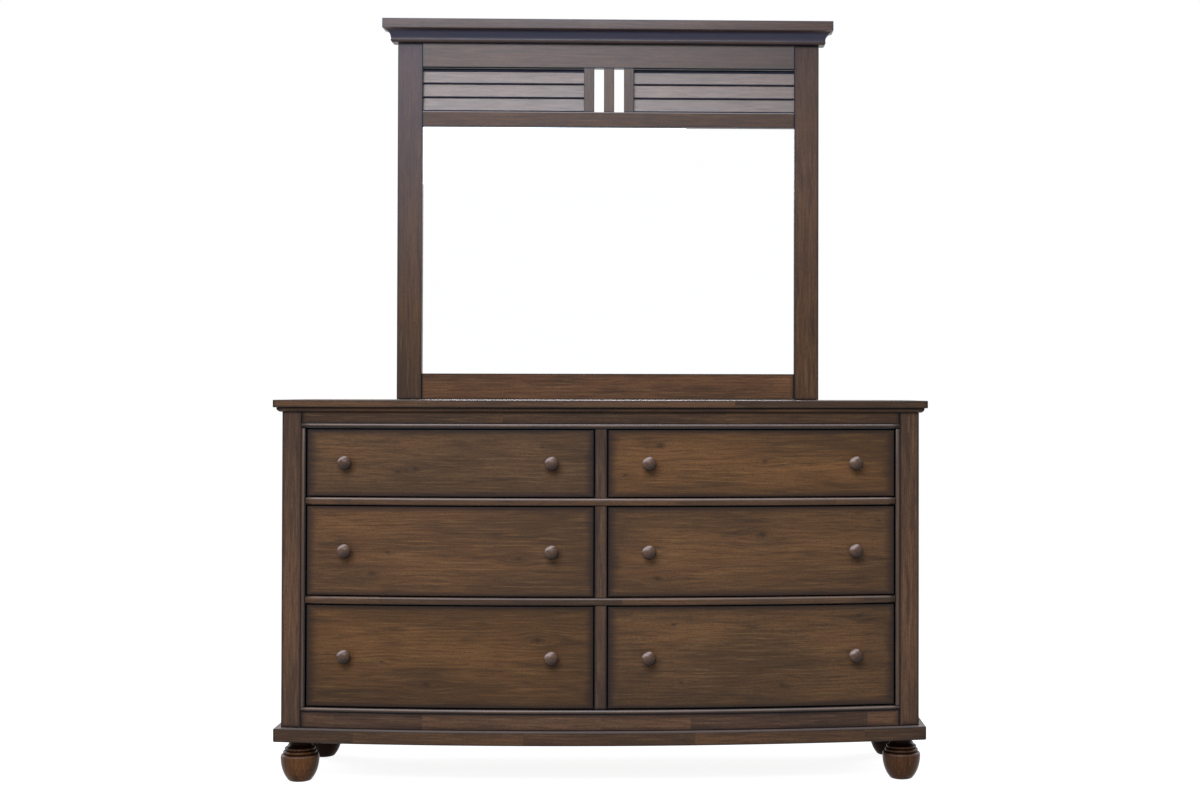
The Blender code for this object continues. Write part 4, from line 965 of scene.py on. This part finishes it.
for side in ("left", "right"):
    shape = ease(cut_away(block(*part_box(f"mirror_{side}_stile")), rabbet()), FRAME_EASE)
    stile = frame_board(f"{side}_stile", shape, stile_woods[side], along="z")
    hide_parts(f"mirror_{side}_stile")
glass_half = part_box("mirror_right_stile")[0].x - GLUE_LINE
for name, wood, painted_highlight, highlight_width, painted_shade_to_right in (
        ("bottom", low_rail_wood, 0.0, 0.003, 0.0), ("middle", middle_rail_wood, 0.8, 0.003, 0.0),
        ("top", top_rail_wood, 0.7, 0.006, 0.42)):
    low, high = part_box(f"mirror_{name}_rail")
    shape = block((-glass_half, low.y, low.z), (glass_half, high.y, high.z))
    if name != "top":
        shape = cut_away(shape, rabbet())
    # The cut marks off the band along the upper edge that takes the painted highlight.
    bmesh.ops.bisect_plane(shape, geom=shape.verts[:] + shape.edges[:] + shape.faces[:],
                           plane_co=(0.0, 0.0, high.z - highlight_width), plane_no=(0.0, 0.0, 1.0))
    rail = frame_board(f"{name}_frame_rail", ease(shape, FRAME_EASE), wood,
                       stain=frame_rail_stain(painted_highlight, painted_shade_to_right))
    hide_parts(f"mirror_{name}_rail")

# The louvres: three short mullions stand between the upper rails, and at each side three thin
# slats lean back between a mullion and the stile. They catch the light from above. Shade is painted
# on each slat's lower edge and on the top slat's upper part, under the rail, as separate dark strips.
SLAT_COUNT = 3
SLAT_PITCH = 0.0374
SLAT_WIDTH = 0.0426
SLAT_THICKNESS = 0.005
SLAT_TILT = math.radians(9)
SLAT_FOOT = 0.0015
SLAT_SET_BACK = 0.0135
SLAT_EASE = 0.0002
SLAT_PAINTED_SHADOW_DROP = 0.0098
SLAT_PAINTED_SHADE_LIP = 0.0029

slat_wood = frame_wood("louvre slat wood", gloss=0.71)
# A dull, dark bluish wood stands for shade: on each slat's lower edge and on the top slat's upper part.
painted_shade_slat_wood = stained_wood(
    "slat edge wood in painted shade", ((0.034, 0.039, 0.062), (0.046, 0.050, 0.074), (0.018, 0.020, 0.034),
                              (0.005, 0.006, 0.012)), gloss=0.08)
mullion_wood = frame_wood("mullion wood", edge=0.004, edge_depth=0.35, gloss=0.4)
centre_low, centre_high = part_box("centre_mullion")
centre = frame_board("centre_mullion_post", ease(block(centre_low, centre_high), FRAME_EASE), mullion_wood,
                     along="z")
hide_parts("centre_mullion")
mullion_width = centre_high.x - centre_low.x
lean = (math.sin(SLAT_TILT) * SLAT_WIDTH, math.cos(SLAT_TILT) * SLAT_WIDTH)
thick = (math.cos(SLAT_TILT) * SLAT_THICKNESS, math.sin(SLAT_TILT) * SLAT_THICKNESS)
slat_y = centre_low.y + SLAT_SET_BACK
shaded_lip = SLAT_PAINTED_SHADE_LIP / SLAT_WIDTH
for side, facing in SIDES:
    low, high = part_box(f"{side}_louvre_panel")
    inner_x, outer_x = from_middle(low, high)
    x0, x1 = sorted((facing * inner_x, facing * (inner_x + mullion_width)))
    shape = ease(block((x0, low.y, low.z), (x1, high.y, high.z)), FRAME_EASE)
    mullion = frame_board(f"{side}_mullion", shape, mullion_wood, along="z")
    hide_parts(f"{side}_louvre_panel")
    x0, x1 = sorted((facing * (inner_x + mullion_width), facing * outer_x))
    for number in range(SLAT_COUNT):
        foot_z = low.z - GLUE_LINE + SLAT_FOOT + number * SLAT_PITCH
        last = number + 1 == SLAT_COUNT
        shadow_from = (high.z - SLAT_PAINTED_SHADOW_DROP - foot_z - thick[1]) / lean[1] if last else 1.0
        for part, wood, start, end in (("_lower_edge", painted_shade_slat_wood, 0.0, shaded_lip), ("", slat_wood, shaded_lip, shadow_from),
                                       ("_tucked_edge", painted_shade_slat_wood, shadow_from, 1.0)):
            if start == end:
                continue
            outline = [(slat_y + up * lean[0] + deep * thick[0],
                        foot_z + up * lean[1] + (1 - deep) * thick[1])
                       for up, deep in ((start, 0), (start, 1), (end, 1), (end, 0))]
            shape = crosswise(outline, x0, x1)
            if not part:
                shape = ease(shape, SLAT_EASE)
            frame_board(f"{side}_slat_{number + 1}{part}", shape, wood)

# The cornice crowns the mirror: a quarter round, a deep cove and a flat fascia, in a front length
# and two short returns mitred to it. Bluish shade and reflection are painted on it, most of all in
# the cove.
CORNICE_START = 0.0125
CORNICE_ROUND_HEIGHT = 0.0072
CORNICE_ROUND_DEPTH = 0.005
CORNICE_ROUND_STEPS = 8
CORNICE_COVE_START = 0.0165
CORNICE_COVE_HEIGHT = 0.0283
CORNICE_COVE_STEPS = 14
CORNICE_EASE = 0.0007
CORNICE_SHADE_FADE = 0.0012
CORNICE_BACK_STAIN = 0.3

# The last, bluish black colour paints bluish shade and reflection, most of all in the cove.
cornice_wood = stained_wood(
    "cornice wood with painted bluish shade", ((0.044, 0.022, 0.015), (0.082, 0.042, 0.028), (0.018, 0.012, 0.012),
                     (0.012, 0.021, 0.056)), edge=0.004, edge_depth=0.3, gloss=0.34, roughness=0.34)
low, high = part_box("cornice")
stile_low, stile_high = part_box("mirror_right_stile")
crown_half = stile_high.x
crown_face_y = stile_low.y
crown_out = high.x - crown_half
cove_z = low.z + CORNICE_ROUND_HEIGHT
section = arc((CORNICE_START, cove_z), (CORNICE_ROUND_DEPTH, CORNICE_ROUND_HEIGHT), 270, 360,
              CORNICE_ROUND_STEPS)
section += arc((crown_out, cove_z), (crown_out - CORNICE_COVE_START, CORNICE_COVE_HEIGHT), 180, 90,
               CORNICE_COVE_STEPS)
section += [(crown_out, cove_z + CORNICE_COVE_HEIGHT + CORNICE_SHADE_FADE)]
section += [(crown_out, high.z - CORNICE_EASE), (crown_out - CORNICE_EASE, high.z)]
back_half = crown_half - high.y + crown_face_y
front_rings = []
side_rings = []
for out, z in section:
    x = crown_half + out
    y = crown_face_y - out
    front_rings.append([(-x, y, z), (x, y, z), (back_half, high.y, z), (-back_half, high.y, z)])
    side_rings.append([(x, y, z), (x, high.y, z), (back_half, high.y, z)])

cove_stain = stain_by_height(
    cove_z, CORNICE_COVE_HEIGHT, (-0.3, -0.2, -0.02, 0.05, 0.6, 0.82, 0.92, 1.0, 1.03),
    (0.3, 0.2, 0.0, 0.65, 0.85, 0.75, 0.0, -0.45, 0.0))


def front_cornice_stain(points):
    """Painted shade lies thick in the cove, and an even stain on the cornice's flat back."""
    return np.where(points[:, 1] > crown_face_y, CORNICE_BACK_STAIN, cove_stain(points))


front_cornice = frame_board("cornice_front", loft(front_rings), cornice_wood, stain=front_cornice_stain)
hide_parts("cornice")
for side, facing in SIDES:
    rings = [[(facing * x, y, z) for x, y, z in ring] for ring in side_rings]
    frame_board(f"cornice_{side}_return", loft(rings), cornice_wood, along="y", stain=cove_stain)

# The mirror plate lies in the frame's rabbet with a thin plywood board behind it. Two battens
# of plain wood, screwed to the case and to the stiles, hold the whole mirror up from behind.
BATTEN_EASE = 0.0015
BATTEN_SCREW_SPACING = 0.16
BORE_RADIUS = 0.006
BORE_DEPTH = 0.003
BORE_TURNS = 24

# A faint haze of dust and hand marks lies on a clean reflection.
silvered_glass = bright_metal("silvered glass", (0.99, 0.995, 0.995), (1.0, 1.0, 1.0),
                              marks={"scale": 7.0, "detail": 6.0, "roughness": 0.65},
                              dull=(0.45, 0.75, 0.0, 0.05))
keep_shape(silvered_glass, "mirror_glass")
keep_shape(plain_wood("backboard plywood", *PLYWOOD, "z"), "mirror_backboard")
batten_wood = stained_wood("batten wood", CASE_BROWN, gloss=0.2, roughness=0.6, edge=0.006, edge_depth=0.4)
bore_profile = [(0.0, 0.0), (BORE_RADIUS, 0.0), (BORE_RADIUS, 2 * BORE_DEPTH), (0.0, 2 * BORE_DEPTH)]
for side in ("left", "right"):
    low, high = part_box(f"{side}_mirror_support")
    count = round((high.z - low.z) / BATTEN_SCREW_SPACING)
    places = [((low.x + high.x) / 2, low.z + (step + 0.5) * (high.z - low.z) / count)
              for step in range(count)]
    bores = [turn_backwards(bore_profile, BORE_TURNS, x, high.y - BORE_DEPTH, z) for x, z in places]
    batten = board(f"{side}_batten", cut_away(ease(block(low, high), BATTEN_EASE), *bores), batten_wood,
                   along="z", slot="batten_wood")
    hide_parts(f"{side}_mirror_support")
    screw_heads(f"{side}_batten_screws", places, high.y - BORE_DEPTH)

# The studio: a pale floor and pale surroundings. A soft box stands high in front with a cooler
# card below it, one hangs overhead, and one at each side, set back, lights a side and the back.
# The camera stands a little right of the middle, at the height of the dresser's top.
FLOOR_REACH = 30.0
FLOOR_PAINT = (0.42, 0.42, 0.42)
FLOOR_SPECKLE = 0.99
FLOOR_GLOW = 0.90
FLOOR_FADE = (1.6, 3.6)
WHITE = (1.0, 1.0, 1.0)
SKY_COLOUR = (0.92, 0.94, 1.0)
SKY_FILL = 0.24
LAMP_COLOUR = (0.94, 0.94, 1.0)
CAMERA_PLACE = (0.190362, -4.7268, 0.970869)
CAMERA_YAW = math.radians(1.597)
CAMERA_PITCH = math.radians(0.715)
CAMERA_ROLL = math.radians(0.102)
CAMERA_SENSOR = 36.0
CAMERA_LENS = 54.750
CAMERA_SHIFT = (-0.10797, -0.02520)


def straight_or_mirrored(tree):
    """1 for what is seen straight, in a mirror or through glass, and 0 for the light it gives."""
    rays = add(tree, "LightPath").outputs
    seen = calc("MAXIMUM", rays["Is Camera Ray"], rays["Is Glossy Ray"])
    return calc("MAXIMUM", seen, rays["Is Transmission Ray"])


def pale_floor(name):
    """A floor that takes the object's shadow, and turns into plain white further off."""
    material, tree, shader = new_material(name)
    tree.nodes.remove(shader)
    place = add(tree, "TexCoord").outputs["Object"]
    speckle = mottling(place, detail=3.0, scale=40.0)
    paint = blend(speckle, [part * FLOOR_SPECKLE for part in FLOOR_PAINT], FLOOR_PAINT)
    matt = add(tree, "BsdfDiffuse", Color=paint).outputs["BSDF"]
    light = add(tree, "Emission", Color=WHITE, Strength=FLOOR_GLOW).outputs["Emission"]
    lit = add(tree, "AddShader", matt, light).outputs["Shader"]
    white = add(tree, "Emission", Color=WHITE, Strength=1.0).outputs["Emission"]
    far_off = spread(move("LENGTH", place), *FLOOR_FADE, smooth=True)
    seen = add(tree, "MixShader", far_off, lit, white).outputs["Shader"]
    shown = add(tree, "MixShader", straight_or_mirrored(tree), matt, seen).outputs["Shader"]
    fill(tree.nodes["Material Output"], Surface=shown)
    return material


shape = bmesh.new()
shape.faces.new([shape.verts.new((x * FLOOR_REACH, y * FLOOR_REACH, 0.0))
                 for x, y in ((-1, -1), (1, -1), (1, 1), (-1, 1))])
studio_floor = new_object("studio_floor", mesh_of("studio_floor", shape))
studio_floor.data.materials.append(pale_floor("studio floor"))

world = bpy.data.worlds.new("pale surroundings")
bpy.context.scene.world = world
world.use_nodes = True
sky = world.node_tree
sky.nodes.clear()
cool = add(sky, "Background", Color=SKY_COLOUR, Strength=SKY_FILL).outputs["Background"]
white = add(sky, "Background", Color=WHITE, Strength=1.0).outputs["Background"]
surroundings = add(sky, "MixShader", straight_or_mirrored(sky), cool, white).outputs["Shader"]
add(sky, "OutputWorld", Surface=surroundings)


def soft_box(name, place, target, width, height, brightness, colour=LAMP_COLOUR):
    """An area lamp of an even brightness, turned towards a point."""
    lamp = bpy.data.lights.new(name, "AREA")
    lamp.shape = "RECTANGLE"
    lamp.size = width
    lamp.size_y = height
    lamp.energy = brightness * math.pi * width * height
    lamp.color = colour
    stand = new_object(name, lamp)
    stand.location = place
    stand.rotation_euler = (Vector(target) - Vector(place)).to_track_quat("-Z", "Y").to_euler()
    stand.visible_camera = False


soft_box("key soft box", place=(-0.9, -4.4, 3.75), target=(0.0, -0.1, 0.9), width=3.9, height=1.3,
         brightness=10.4, colour=(0.93, 0.92, 1.0))
soft_box("sky card", place=(-1.3, -4.7, 2.65), target=(0.0, -0.1, 1.6), width=3.2, height=1.1,
         brightness=3.6, colour=(0.76, 0.84, 1.0))
soft_box("overhead soft box", place=(0.3, -0.6, 4.2), target=(0.0, 0.0, 0.9), width=3.0, height=2.4,
         brightness=1.6)
for side, facing in SIDES:
    soft_box(f"{side} side soft box", place=(facing * 3.9, 2.1, 2.0), target=(0.0, 0.1, 0.9), width=2.0,
             height=2.0, brightness=6.0)

camera_data = bpy.data.cameras.new("camera")
camera_data.sensor_width = CAMERA_SENSOR
camera_data.lens = CAMERA_LENS
camera_data.shift_x, camera_data.shift_y = CAMERA_SHIFT
camera = new_object("camera", camera_data)
turned = Matrix.Rotation(-CAMERA_YAW, 4, "Z") @ Matrix.Rotation(math.radians(90) + CAMERA_PITCH, 4, "X")
camera.matrix_world = Matrix.Translation(CAMERA_PLACE) @ turned @ Matrix.Rotation(CAMERA_ROLL, 4, "Z")
bpy.context.scene.camera = camera
bpy.context.scene.view_settings.view_transform = "Standard"
